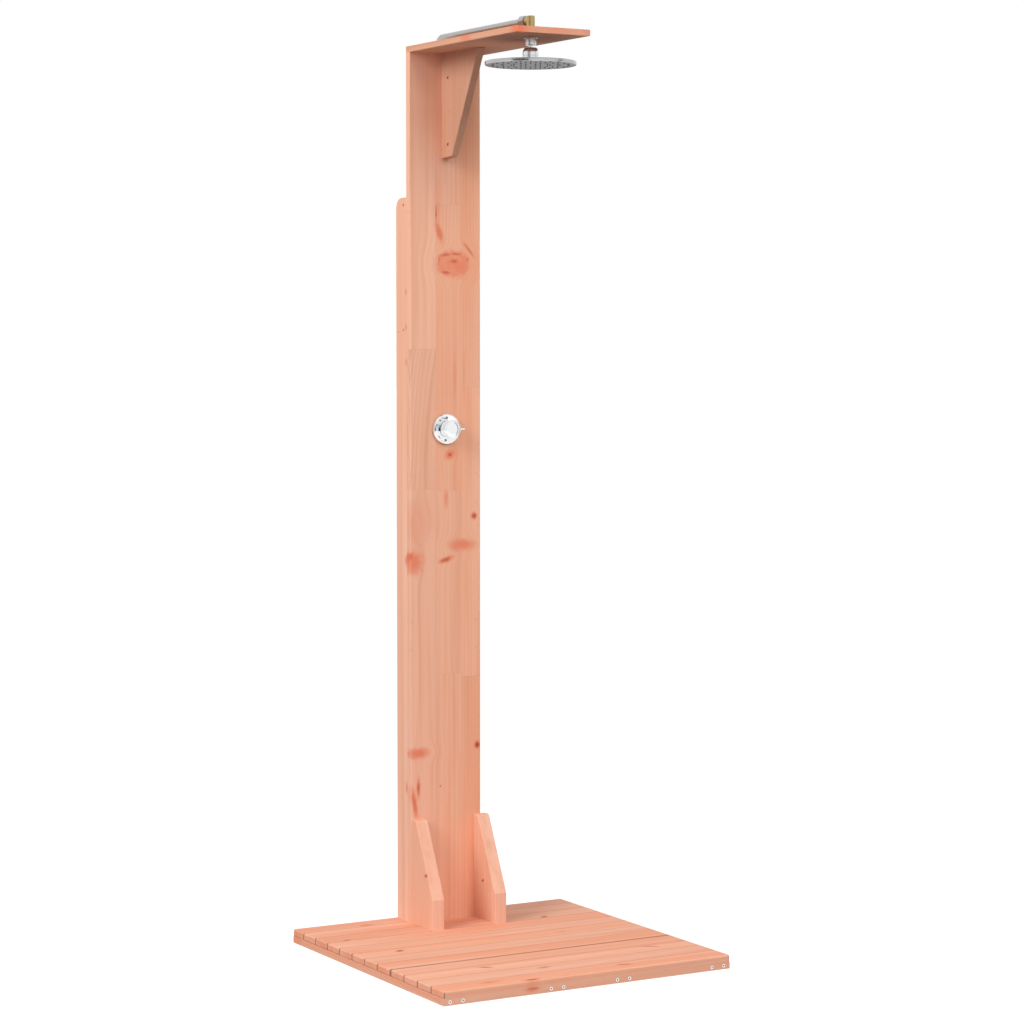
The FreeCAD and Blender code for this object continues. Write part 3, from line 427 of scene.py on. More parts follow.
def timber(context, node, along, face, tones, pith, knots=(), seed=0.0, contrast=1.0, tone_and_painted_shade=1.0, strips=False,
           fillers=(), grime_and_shade_widths=None, broad=False):
    """Dresses a board in planed larch. along is the axis of its grain, face the one across it, tones its pale,
    late and blush colours, and pith how far its tree's middle lies from its own, across the face and behind it.
    Each knot is (across, along, radius, stretch, lean, red, dark) and, where it has one, its rim.
    grime_and_shade_widths gives how wide the grime and painted shade are along the low and the high side of the
    board, and broad keeps the knots to its broad faces."""
    look = settings(context, "timber")
    # The factor scales all three colours: the planks and gussets differ in their own tone by it, and on the top board
    # and the bracket it paints shade.
    pale, late, blush = (tuple(value * tone_and_painted_shade for value in tone) for tone in tones)
    material, t, shader = new_material(node.replace("_", " "))
    place = t.add("ShaderNodeTexCoord").outputs["Object"]
    mapping = t.add("ShaderNodeMapping", vector_type="POINT")
    mapping.inputs["Location"].default_value = -middle(node)
    t.feed(mapping.inputs["Vector"], place)
    own = t.split(mapping.outputs[0])
    whole = t.split(place)
    axes = {"X": 0, "Y": 1, "Z": 2}
    third = [axis for axis in "XYZ" if axis not in (along, face)][0]
    across, deep, run = own[axes[face]], own[axes[third]], own[axes[along]]
    sum_red, sum_dark, bent = 0.0, 0.0, across
    ragged = t.noise(mapping.outputs[0], 85.0, 2.0)
    for at_across, at_along, radius, stretch, lean, red, dark, *rim in knots:
        knot = t.group("knot", Across=whole[axes[face]], Along=whole[axes[along]], Ragged=ragged,
                       At_Across=at_across, At_Along=at_along, Radius=radius, Stretch=stretch, Lean=lean, Red=red,
                       Dark=dark, Rim=sum(rim))
        sum_red = t.most(sum_red, knot["Red"])
        sum_dark = t.most(sum_dark, knot["Dark"])
        if stretch < 2:
            bent = t.plus(bent, knot["Bend"])
    vector = t.joined(bent, deep, run)
    joint = None
    if strips:
        joint = t.group("glued strips", Across=whole[axes[face]], Along=whole[axes[along]])
        vector = t.vector("ADD", vector, joint["Shift"])
    grain = t.group("board grain", Vector=vector, Pith_X=pith[0], Pith_Y=pith[1], Ring_Pitch=look.ring_pitch,
                    Wander=look.wander, Seed=seed)
    base = t.blend(t.ramp(grain["Tone"], 0.38, 0.66), pale, blush)
    rings, streaks = 0.45 * contrast, 0.7 * contrast
    if joint:
        base = t.blend(t.times(joint["Left"], 0.6), base, tuple(look.sapwood))
        rings = t.times_plus(joint["Curved"], 0.22, rings)
    base = t.blend(t.times(grain["Late Wood"], rings), base, late)
    base = t.blend(t.times(t.ramp(grain["Streak"], 0.48, 0.74), streaks), base, late)
    base = t.blend(t.times(t.ramp(grain["Fibre"], 0.45, 0.7), 0.08), base, tuple(look.knot_red))
    if joint:
        lift = t.times_plus(joint["Piece"], 0.06, 0.96)
        base = t.blend(1.0, base, t.joined(lift, lift, lift), "MULTIPLY")
        base = t.blend(t.times(joint["Line"], 0.3), base, late)
    for at_across, at_along in fillers:
        filled = t.group("filled hole", Across=whole[axes[face]], Along=whole[axes[along]], At_Across=at_across,
                         At_Along=at_along)
        base = t.blend(t.times(filled["Mask"], 0.55), base, tuple(look.filler))
    normal = t.split(t.add("ShaderNodeTexCoord").outputs["Normal"])
    if broad:
        facing = t.ramp(t.unsigned(normal[axes[third]]), 0.5, 0.8)
        sum_red, sum_dark = t.times(sum_red, facing), t.times(sum_dark, facing)
    base = t.blend(sum_red, base, tuple(look.knot_red))
    base = t.blend(sum_dark, base, tuple(look.knot_dark))
    end_grain = t.ramp(t.unsigned(normal[axes[along]]), 0.75, 0.95)
    base = t.blend(t.times(end_grain, 0.16), base, tuple(look.knot_red))
    # Painted shade with some grime: a dark band beside an open joint widens the gap's shade, and short dark ticks at
    # the sides of the plank ends paint the shade inside the joints
    if grime_and_shade_widths:
        low, high = corners(node)
        half = (high - low) / 2
        wide, long = half[axes[face]], half[axes[along]]
        below = t.ramp(across, 0.0010 + grime_and_shade_widths[0] - wide, grime_and_shade_widths[0] - wide)
        above = t.ramp(across, wide - grime_and_shade_widths[1] - 0.0010, wide - grime_and_shade_widths[1])
        seam_grime_and_shade = t.times(t.most(below, above), 0.4)
        sides = t.ramp(t.unsigned(across), wide - 0.0022, wide - 0.0008)
        ends = t.ramp(t.unsigned(run), long - 0.004, long - 0.002)
        end_painted_shade = t.times(t.times(sides, ends), 0.7)
        base = t.blend(t.most(seam_grime_and_shade, end_painted_shade), base, tuple(look.joint_grime_and_shade))
    t.feed(shader["Base Color"], base)
    rough = t.times_plus(grain["Fibre"], 0.16, look.roughness - 0.08)
    t.feed(shader["Roughness"], t.minus(rough, t.times(sum_red, 0.12)))
    height = t.plus(t.times(grain["Fibre"], 0.7), t.times(grain["Late Wood"], 0.5))
    if joint:
        height = t.minus(height, joint["Line"])
    t.feed(shader["Normal"], bump(t, height, look.fibre_depth, 0.6))
    shader["Specular IOR Level"].default_value = 0.2
    dress([node], material)


def chrome(name, tint, clean, dull):
    """Polished metal; clean and dull are its roughness where it is untouched and where it is touched."""
    material, t, shader = new_material(name)
    marks = t.group("smudges", Vector=t.add("ShaderNodeTexCoord").outputs["Object"], Clean=clean, Dull=dull)
    shader["Base Color"].default_value = (*tint, 1.0)
    shader["Metallic"].default_value = 1.0
    t.feed(shader["Roughness"], marks["Roughness"])
    t.feed(shader["Normal"], bump(t, marks["Height"], 0.00002, 0.2))
    return material


def brushed(name, tint, mean, spread, along="Z"):
    """Metal with fine drawing lines along an axis."""
    material, t, shader = new_material(name)
    mapping = t.add("ShaderNodeMapping")
    mapping.inputs["Rotation"].default_value = turns[along]
    t.feed(mapping.inputs["Vector"], t.add("ShaderNodeTexCoord").outputs["Object"])
    drawn = t.group("brushed metal", Vector=mapping.outputs[0], Mean=mean, Spread=spread)
    t.feed(shader["Base Color"], t.blend(1.0, tint, t.joined(drawn["Tone"], drawn["Tone"], drawn["Tone"]),
                                         "MULTIPLY"))
    shader["Metallic"].default_value = 1.0
    t.feed(shader["Roughness"], drawn["Roughness"])
    t.feed(shader["Normal"], bump(t, drawn["Height"], 0.00003, 0.4))
    return material


def moulded(name, tint, dusty, roughness, grain_size, depth):
    """Rubber, plastic or ceramic with a fine skin."""
    material, t, shader = new_material(name)
    place = t.add("ShaderNodeTexCoord").outputs["Object"]
    fine = t.noise(place, grain_size, 3.0)
    broad = t.ramp(t.noise(place, grain_size / 25, 2.0), 0.35, 0.7)
    t.feed(shader["Base Color"], t.blend(broad, tint, dusty))
    t.feed(shader["Roughness"], t.times_plus(fine, 0.2, roughness - 0.1))
    t.feed(shader["Normal"], bump(t, fine, depth, 0.5))
    return material


finishes = {
    # tint, roughness untouched and touched
    "bright chrome": (chrome, (0.86, 0.87, 0.88), 0.04, 0.10),
    "softened chrome": (chrome, (0.80, 0.81, 0.82), 0.24, 0.30),
    "polished cap": (chrome, (0.88, 0.885, 0.89), 0.08, 0.16),
    "polished head": (chrome, (0.48, 0.48, 0.48), 0.20, 0.28),
    # tint, mean roughness, its spread, and the axis of the lines where it isn't Z
    "grey plate": (brushed, (0.10, 0.10, 0.102), 0.42, 0.15),
    "cast brass": (brushed, (0.50, 0.37, 0.17), 0.32, 0.25),
    "zinc screw": (brushed, (0.78, 0.79, 0.80), 0.28, 0.2),
    "browned screw": (brushed, (0.36, 0.16, 0.10), 0.5, 0.2),
    "drawn pipe": (brushed, (0.47, 0.455, 0.45), 0.36, 0.2),
    "satin steel": (brushed, (0.44, 0.44, 0.44), 0.34, 0.2, "X"),
    # tint, dusty tint, roughness, scale and depth of its skin
    "black rubber": (moulded, (0.025, 0.025, 0.026), (0.05, 0.05, 0.05), 0.6, 900.0, 0.00005),
    "nozzle rubber": (moulded, (0.055, 0.056, 0.06), (0.09, 0.09, 0.095), 0.55, 1400.0, 0.00003),
    "white ceramic": (moulded, (0.86, 0.85, 0.82), (0.80, 0.79, 0.76), 0.18, 1600.0, 0.00001),
    "liner plastic": (moulded, (0.82, 0.80, 0.74), (0.75, 0.73, 0.68), 0.4, 1200.0, 0.00003),
}


def finish(name):
    """One of the finishes, built once."""
    make, *values = finishes[name]
    return bpy.data.materials.get(name) or make(name, *values)


def dress(nodes, material):
    """Gives nodes of the model a material."""
    for name in nodes:
        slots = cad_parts[name].data.materials
        slots.clear()
        slots.append(material)


# ---- pieces -------------------------------------------------------------------------------
def lathe(outline, start, direction, steps, closed=True):
    """Turns an outline of (radius, height) about an axis that leaves start in a direction."""
    bm = bmesh.new()
    points = [bm.verts.new((radius, 0, height)) for radius, height in outline]
    edges = [bm.edges.new(pair) for pair in zip(points, points[1:])]
    if closed:
        edges.append(bm.edges.new((points[-1], points[0])))
    bmesh.ops.spin(bm, geom=points + edges, cent=(0, 0, 0), axis=(0, 0, 1), dvec=(0, 0, 0), angle=2 * math.pi,
                   steps=steps, use_merge=True)
    bmesh.ops.remove_doubles(bm, verts=bm.verts, dist=1e-6)
    bmesh.ops.recalc_face_normals(bm, faces=bm.faces)
    aim(bm, bm.verts, start, direction)
    return bm


def aim(bm, verts, start, direction):
    """Moves a shape built up +Z from the origin so that it leaves start in a direction."""
    turn = Z_AXIS.rotation_difference(direction).to_matrix().to_4x4()
    bmesh.ops.transform(bm, matrix=Matrix.Translation(start) @ turn, verts=list(verts))


def placed(name, bm):
    """Puts a bmesh into the scene as an object."""
    mesh = bpy.data.meshes.new(name)
    bm.to_mesh(mesh)
    bm.free()
    made = bpy.data.objects.new(name, mesh)
    bpy.context.scene.collection.objects.link(made)
    return made


def arc(centre, reach, start, stop, steps, first=1):
    """Points of an outline on an ellipse about centre, reach wide and high, between two angles in degrees."""
    angles = [math.radians(start + (stop - start) * number / steps) for number in range(first, steps + 1)]
    return [(centre[0] + reach[0] * math.cos(angle), centre[1] + reach[1] * math.sin(angle)) for angle in angles]


def piece(name, bm, material, body, slot, *nodes):
    """Makes a finished piece from a bmesh, puts it on its body and hides the nodes it stands for."""
    bmesh.ops.remove_doubles(bm, verts=bm.verts, dist=1e-7)
    bmesh.ops.recalc_face_normals(bm, faces=bm.faces)
    made = placed(name, bm)
    mesh = made.data
    mesh.polygons.foreach_set("use_smooth", [True] * len(mesh.polygons))
    mesh.set_sharp_from_angle(angle=math.radians(32))
    mesh.materials.append(material)
    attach(made, body)
    if nodes:
        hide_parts(*nodes)
    return made


def merged(shapes):
    """Joins several bmeshes into one."""
    whole = bmesh.new()
    for bm in shapes:
        mesh = bpy.data.meshes.new("part")
        bm.to_mesh(mesh)
        bm.free()
        whole.from_mesh(mesh)
        bpy.data.meshes.remove(mesh)
    return whole


def fused(shapes, operation="UNION"):
    """Joins closed shapes into one skin, or trims the first to the others, with no walls left inside."""
    solids = []
    for bm in shapes:
        bmesh.ops.recalc_face_normals(bm, faces=bm.faces)
        solids.append(placed("part", bm))
    for other in solids[1:]:
        step = solids[0].modifiers.new("join", "BOOLEAN")
        step.operation, step.solver, step.object = operation, "EXACT", other
    made = solids[0].evaluated_get(bpy.context.evaluated_depsgraph_get())
    whole = bmesh.new()
    whole.from_mesh(made.data)
    for solid in solids:
        mesh = solid.data
        bpy.data.objects.remove(solid)
        bpy.data.meshes.remove(mesh)
    return whole


def drawn_from(bm, edges, run):
    """Draws open edges out by run, and gives their new ends and the edges between those."""
    made = bmesh.ops.extrude_edge_only(bm, edges=edges)["geom"]
    ends = [item for item in made if isinstance(item, bmesh.types.BMVert)]
    bmesh.ops.translate(bm, vec=run, verts=ends)
    return ends, [item for item in made if isinstance(item, bmesh.types.BMEdge)
                  and item.verts[0] in ends and item.verts[1] in ends]


def star_recess(bm, radius, depth, rim):
    """A six-lobed drive recess in the flat top at height 0; rim is the open edge loop round it."""
    star = bmesh.ops.create_circle(bm, cap_ends=False, radius=radius, segments=24)["verts"]
    for number, corner in enumerate(star):
        if number % 4 == 2:
            corner.co *= 0.72
        elif number % 2:
            corner.co *= 0.88
    ring = [edge for edge in bm.edges if edge.verts[0] in star and edge.verts[1] in star]
    bmesh.ops.edgeloop_fill(bm, edges=drawn_from(bm, ring, (0, 0, depth))[1])
    bmesh.ops.bridge_loops(bm, edges=ring + rim)


def screw(sizes, place, direction, run, pan=False, sunk=False):
    """A wood screw whose head's top is at place and whose point lies along direction."""
    head, shank = (sizes.sunk_head if sunk else sizes.head), sizes.shank
    opening = sizes.recess * (1.15 if sunk else 1.25)
    if pan:
        head = 0.0038
        outline = [(opening, -0.0022), (head * 0.7, -0.0022), (head * 0.92, -0.0013), (head, 0), (shank, 0),
                   (shank, run - 2 * shank), (0, run)]
    else:
        outline = [(opening, 0), (head - 0.0002, 0), (head, 0.0002), (shank, 0.0028), (shank, run - 2 * shank),
                   (0, run)]
    steps = 24
    bm = lathe(outline, Vector(), Z_AXIS, steps, closed=False)
    top = min(vert.co.z for vert in bm.verts)
    bmesh.ops.translate(bm, vec=(0, 0, -top), verts=bm.verts)
    rim = [edge for edge in bm.edges if edge.is_boundary]
    star_recess(bm, sizes.recess, sizes.recess_depth, rim)
    bmesh.ops.translate(bm, vec=(0, 0, top), verts=bm.verts)
    bmesh.ops.recalc_face_normals(bm, faces=bm.faces)
    aim(bm, bm.verts, place, direction)
    return bm


# ---- timber -------------------------------------------------------------------------------
deck_knots = [
    # across (Y), along (X), radius, stretch, lean, red, dark
    (0.189, -0.297, 0.006, 1.7, 0.0, 0.55, 0.45),
    (0.035, -0.247, 0.007, 1.8, 0.1, 0.75, 0.75),
    (-0.198, -0.166, 0.0045, 3.4, -0.5, 0.95, 0.85),
    (-0.324, -0.226, 0.008, 2.6, 0.0, 0.5, 0.1),
    (-0.260, -0.058, 0.008, 2.2, 0.2, 0.45, 0.25),
    (0.192, 0.208, 0.007, 1.5, 0.2, 0.7, 0.8),
    (-0.197, 0.247, 0.0048, 4.0, -0.6, 0.8, 0.5),
    (-0.321, 0.104, 0.007, 2.6, -0.3, 0.55, 0.35),
    (0.311, -0.188, 0.007, 2.8, 0.0, 0.6, 0.15),
    (0.032, 0.154, 0.004, 5.0, 0.0, 0.4, 0.1),
    (-0.346, -0.141, 0.006, 3.0, 0.0, 0.9, 0.6),
]
front_knots = [
    # across (X), along (Z), radius, stretch, lean, red, dark
    (0.0195, 1.5225, 0.034, 0.70, 0.0, 0.70, 0.0, 0.35),
    (0.0340, 1.5175, 0.0220, 0.95, 0.0, 0.80, 0.0),
    (0.0225, 1.5280, 0.0120, 0.50, 0.1, 1.0, 0.30),
    (0.0565, 1.5324, 0.0045, 1.5, 0.0, 0.50, 0.30),
    (0.0011, 1.5026, 0.014, 0.30, -0.6, 1.0, 0.30),
    (0.0020, 1.5420, 0.016, 0.30, 1.2, 1.0, 0.25),
    (0.0283, 1.5440, 0.018, 0.22, -1.2, 0.90, 0.25),
    (-0.0160, 1.5298, 0.0026, 5.0, 0.3, 0.70, 0.30),
    (-0.0154, 1.5928, 0.0075, 2.8, -0.30, 0.85, 0.1),
    (-0.0190, 1.6745, 0.008, 7.0, 0.0, 0.28, 0.0),
    (-0.0234, 1.6336, 0.002, 12.0, 0.0, 0.8, 0.5),
    (0.0604, 1.5543, 0.0042, 4.0, -0.83, 0.55, 0.35),
    (0.0114, 1.0917, 0.0125, 0.85, 0.2, 0.85, 0.0),
    (0.0114, 1.0917, 0.0065, 0.8, 0.0, 1.0, 0.45),
    (0.0739, 0.9515, 0.008, 1.0, 0.0, 0.9, 0.55),
    (-0.0811, 0.8498, 0.020, 1.25, 0.0, 0.85, 0.0),
    (-0.0887, 0.8613, 0.007, 1.6, 0.0, 1.0, 0.12),
    (0.0426, 0.8863, 0.028, 0.42, 0.0, 0.80, 0.0),
    (0.0011, 0.8537, 0.014, 0.55, 1.2, 1.0, 0.35),
    (-0.0709, 0.4163, 0.025, 0.43, 0.1, 0.85, 0.05),
    (0.0817, 0.4260, 0.008, 1.1, 0.0, 1.0, 0.8),
    (-0.0709, 0.3373, 0.0045, 4.8, 0.0, 0.9, 0.35),
    (-0.0811, 0.3020, 0.006, 5.0, -0.15, 0.9, 0.15),
    (-0.0144, 0.3375, 0.0035, 1.0, 0.0, 0.3, 0.5),
    (-0.0657, 0.9395, 0.030, 1.5, 0.0, 0.20, 0.0),
    (0.0011, 0.9921, 0.005, 3.8, 0.0, 0.5, 0.1),
    (0.0244, 1.2666, 0.003, 16.0, 0.0, 0.4, 0.0),
    (0.0478, 1.2734, 0.003, 18.0, 0.0, 0.35, 0.0),
]
front_fillers = [
    # across (X), along (Z)
    (-0.0836, 1.046), (-0.0836, 0.9874), (0.0791, 1.0473), (0.0791, 0.9811), (-0.0862, 0.7148), (-0.0862, 0.6517),
    (0.0765, 0.714), (0.0765, 0.6501), (0.0739, 1.6362), (-0.0862, 1.6364), (-0.0811, 1.3344),
]


class SHOWER_OT_deck(bpy.types.Operator):
    """Finishes the planks, rails and bearers of the deck"""
    bl_idname = "shower.deck"
    bl_label = "Deck timber"

    def execute(self, context):
        look = settings(context, "timber")
        tones = look.deck_pale, look.deck_late, look.deck_blush
        planks = sorted(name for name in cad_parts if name.startswith("plank_"))
        if not planks:
            raise RuntimeError("the model has no planks")
        for number, name in enumerate(planks):
            low, high = corners(name)
            mine = [knot for knot in deck_knots if low.y - 0.006 < knot[0] < high.y + 0.006]
            pith = (0.012 * ((number * 7) % 5 - 2), -0.045 - 0.012 * ((number * 5) % 4))
            gap_below = low.y - corners(planks[number - 1])[1].y if number > 0 else -1
            gap_above = corners(planks[number + 1])[0].y - high.y if number + 1 < len(planks) else -1
            # widths of the grime and painted shade beside each side's joint: a wider band at an open joint, a narrow
            # one at a tight joint, none at the deck's edges
            grime_and_shade_widths = [-0.01 if gap < 0 else 0.0035 if gap > 0.0015 else 0.0 for gap in (gap_below, gap_above)]
            timber(context, name, "X", "Y", tones, pith, mine, 1.7 + 2.3 * number, contrast=0.8,
                   tone_and_painted_shade=(1.0, 0.965, 1.015, 0.985)[number % 4], grime_and_shade_widths=grime_and_shade_widths)
        rail_knots = [(0.016, -0.141, 0.009, 1.9, 0.0, 0.9, 0.2)]
        timber(context, "front_rail", "X", "Z", tones, (0.01, 0.06), rail_knots, 40.0)
        timber(context, "rear_rail", "X", "Z", tones, (0.01, 0.06), (), 41.0)
        for number in range(1, 5):
            timber(context, "bearer_%d" % number, "Y", "X", tones, (0.0, 0.06), (), 50.0 + number)
        return {"FINISHED"}


class SHOWER_OT_post(bpy.types.Operator):
    """Finishes the boards of the post, its gussets, the top board and the bracket"""
    bl_idname = "shower.post"
    bl_label = "Post timber"

    def execute(self, context):
        look = settings(context, "timber")
        tones = look.post_pale, look.post_late, look.post_blush
        side_tones = look.side_pale, look.post_late, look.post_pale
        timber(context, "front_board", "Z", "X", tones, (-0.02, 0.075), front_knots, 3.1, contrast=0.6, strips=True,
               fillers=front_fillers)
        left = [(0.3104, 1.6525, 0.0035, 1.0, 0.0, 0.7, 0.8), (0.3119, 1.3731, 0.0030, 1.0, 0.0, 0.7, 0.7),
                (0.3362, 1.3688, 0.0026, 1.0, 0.0, 0.5, 0.4), (0.299, 1.458, 0.003, 2.5, 0.0, 0.7, 0.1),
                (0.299, 1.379, 0.003, 2.5, 0.0, 0.7, 0.1), (0.299, 1.301, 0.003, 2.5, 0.0, 0.7, 0.1),
                (0.300, 0.854, 0.005, 2.2, 0.0, 0.7, 0.1), (0.300, 0.337, 0.0045, 2.5, 0.0, 0.6, 0.1)]
        timber(context, "side_board_left", "Z", "Y", side_tones, (0.03, 0.06), left, 7.9, contrast=0.45)
        timber(context, "side_board_right", "Z", "Y", tones, (-0.02, -0.06),
               [(0.322, 1.21, 0.006, 1.4, 0.0, 0.9, 0.7)], 11.3, contrast=0.7)
        knots = [(0.2110, 0.1490, 0.0085, 0.55, -0.6, 0.7, 0.7), (0.2210, 0.2060, 0.0035, 4.5, 0.37, 0.8, 0.75),
                 (0.2270, 0.2300, 0.0040, 1.5, 0.37, 0.6, 0.3)]
        timber(context, "gusset_left", "Z", "Y", side_tones, (0.02, 0.05), knots, 17.7, contrast=0.4, tone_and_painted_shade=0.96,
               broad=True)
        timber(context, "gusset_right", "Z", "Y", side_tones, (-0.02, -0.05), (), 19.1, contrast=0.5, tone_and_painted_shade=0.94)
        # 0.84 darkens the top board's colour, painted shade for its dim underside
        timber(context, "top_board", "Y", "X", tones, (0.02, -0.08),
               [(-0.088, -0.195, 0.0220, 0.9, 0.0, 0.85, 0.05), (-0.090, 0.020, 0.004, 5.0, 0.0, 0.6, 0.0)], 23.9,
               contrast=0.8, tone_and_painted_shade=0.84)
        # 0.72 darkens the bracket's colour, painted shade of the top board above it
        timber(context, "top_bracket", "Z", "Y", tones, (0.02, 0.06), [(0.243, 1.86, 0.004, 1.2, 0.0, 0.5, 0.1)],
               29.3, contrast=0.45, tone_and_painted_shade=0.72)
        return {"FINISHED"}


# ---- fittings -----------------------------------------------------------------------------
class SHOWER_OT_screws(bpy.types.Operator):
    """Models the wood screws with their drive recesses"""
    bl_idname = "shower.screws"
    bl_label = "Screws"

    def execute(self, context):
        sizes = settings(context, "screws")
        steel = finish("zinc screw")
        rail_low, rail_high = corners("front_rail")
        pair = 0.015                 # half the way between a bearer's two screws
        long, slanting, short = 0.045, 0.062, 0.015     # lengths of the screws
        flange_ring, clip_ear = 0.0255, 0.0173          # from the valve's and the pipe's axis to the pan heads
        shapes = []
        for number in range(1, 5):
            centre = middle("bearer_%d" % number)
            for side in (-1, 1):
                place = Vector((centre.x + side * pair, rail_low.y, (rail_low.z + rail_high.z) / 2))
                shapes.append(screw(sizes, place, Y_AXIS, long))
        piece("rail_screw_heads", merged(shapes), steel, "post", "screw_steel", "rail_screws")
        board_low, board_high = corners("front_board")
        slant = math.radians(24)
        inwards = Vector((math.sin(slant), math.cos(slant), 0))
        outwards = Vector((-math.sin(slant), math.cos(slant), 0))
        low = corners("top_bracket")[0]
        shapes = [screw(sizes, Vector((low.x, board_low.y - 0.032, low.z + rise)), inwards, long, sunk=True)
                  for rise in (0.030, 0.178)]
        brown = finish("browned screw")
        piece("bracket_screw_heads", merged(shapes), brown, "post", "screw_steel", "bracket_screws")
        left_low, left_high = corners("gusset_left")
        right_low = corners("gusset_right")[0]
        depth, height = board_low.y - 0.046, left_low.z + 0.090
        shapes = [screw(sizes, Vector((left_high.x, depth, height)), outwards, slanting, sunk=True),
                  screw(sizes, Vector((right_low.x, depth, height)), inwards, slanting, sunk=True)]
        piece("gusset_screw_heads", merged(shapes), brown, "post", "screw_steel", "gusset_screws")
        top = corners("top_board")[1].z
        middle_y = (board_low.y + board_high.y) / 2
        places = [Vector((side * (board_high.x - board_low.x) / 3, middle_y, top)) for side in (-1, 1)]
        places += [Vector((0, board_low.y - back, top)) for back in (0.045, 0.115)]
        piece("top_screw_heads", merged([screw(sizes, place, DOWN, long) for place in places]), steel, "post",
              "screw_steel", "top_board_screws")
        axis = middle("rosette")
        back = board_high.y
        places = [Vector((axis.x + flange_ring * math.cos(angle), back + 0.004,
                          axis.z + flange_ring * math.sin(angle)))
                  for angle in (math.radians(45 + 90 * k) for k in range(4))]
        clip = corners("pipe_clips")
        for height in (clip[0].z + 0.006, clip[1].z - 0.006):
            places += [Vector((side * clip_ear, back + 0.0022, height)) for side in (-1, 1)]
        piece("pan_screw_heads", merged([screw(sizes, place, FORWARD, short, pan=True) for place in places]), steel,
              "post", "screw_steel", "pan_screws")
        dress(["foot_screws"], steel)
        return {"FINISHED"}


class SHOWER_OT_valve(bpy.types.Operator):
    """Models the valve's cover plate, handle, cap and pin"""
    bl_idname = "shower.valve"
    bl_label = "Valve"

    def execute(self, context):
        sizes = settings(context, "valve")
        low, high = corners("rosette")
        axis = middle("rosette")
        bore = 0.0151
        radius, thick = (high.x - low.x) / 2, high.y - low.y
        start = Vector((axis.x, high.y, axis.z))
        bend, edge = sizes.plate_round, sizes.plate_edge
        outline = [(bore, 0), (radius - 0.0004, 0), (radius, 0.0004), (radius, edge),
                   *arc((radius - bend, edge), (bend, thick - edge), 0, 90, 10)]
        outline += [(radius - bend - 0.003, thick), (radius - bend - 0.004, thick - 0.0006), (bore, thick - 0.0006)]
        piece("cover_plate", lathe(outline, start, FORWARD, sizes.steps), finish("bright chrome"), "post", "chrome",
              "rosette")
        low, high = corners("handle")
        radius, run = (high.x - low.x) / 2, high.y - low.y
        front = Vector((axis.x, low.y, axis.z))
        cap_low, cap_high = corners("handle_cap")
        cap = (cap_high.x - cap_low.x) / 2
        cap_thick = cap_high.y - cap_low.y
        edge, back = sizes.handle_round, radius - sizes.handle_taper
        knob = lathe([(0, cap_thick), (cap + 0.0001, cap_thick), (cap + 0.0001, edge * 0.3),
                      (cap + 0.0004, 0), (radius - edge, 0), (radius - edge * 0.3, edge * 0.3), (radius, edge),
                      (radius - 0.0001, edge + 0.0006), (back + 0.0001, run - 0.0042),
                      (back, run - 0.0035), (back - 0.0006, run - 0.0030), (back - 0.0006, run - 0.0022),
                      (back, run - 0.0017), (back, run - 0.0006), (back - 0.0006, run), (0.0158, run),
                      (0.0158, run - 0.006), (0, run - 0.006)], front, Y_AXIS, sizes.steps)
        piece("turned_knob", knob, finish("bright chrome"), "valve_handle", "chrome", "handle")
        disc = lathe([(0, 0.0001), (cap * 0.6, 0.0001), (cap - 0.0010, 0.0002), (cap - 0.0002, 0.0007),
                      (cap - 0.0001, cap_thick), (0, cap_thick)], front, Y_AXIS, sizes.steps)
        piece("knob_cap", disc, finish("polished cap"), "valve_handle", "polished_steel", "handle_cap")
        low, high = corners("lever_pin")
        thick = (high.z - low.z) / 2
        centre = middle("lever_pin")
        reach = high.x - low.x
        pin = lathe([(0, 0), (thick, 0), (thick, reach - 0.0012), (thick * 0.8, reach - 0.0005),
                     (thick * 0.4, reach), (0, reach)], Vector((low.x, centre.y, centre.z)), X_AXIS, 24)
        piece("turned_pin", pin, finish("bright chrome"), "valve_handle", "chrome", "lever_pin")
        dress(["spindle"], finish("satin steel"))
        dress(["valve_sleeve"], finish("bright chrome"))
        dress(["valve_cartridge"], finish("cast brass"))
        dress(["fixed_disc", "moving_disc"], finish("white ceramic"))
        dress(["cartridge_seal", "rosette_gasket"], finish("black rubber"))
        return {"FINISHED"}


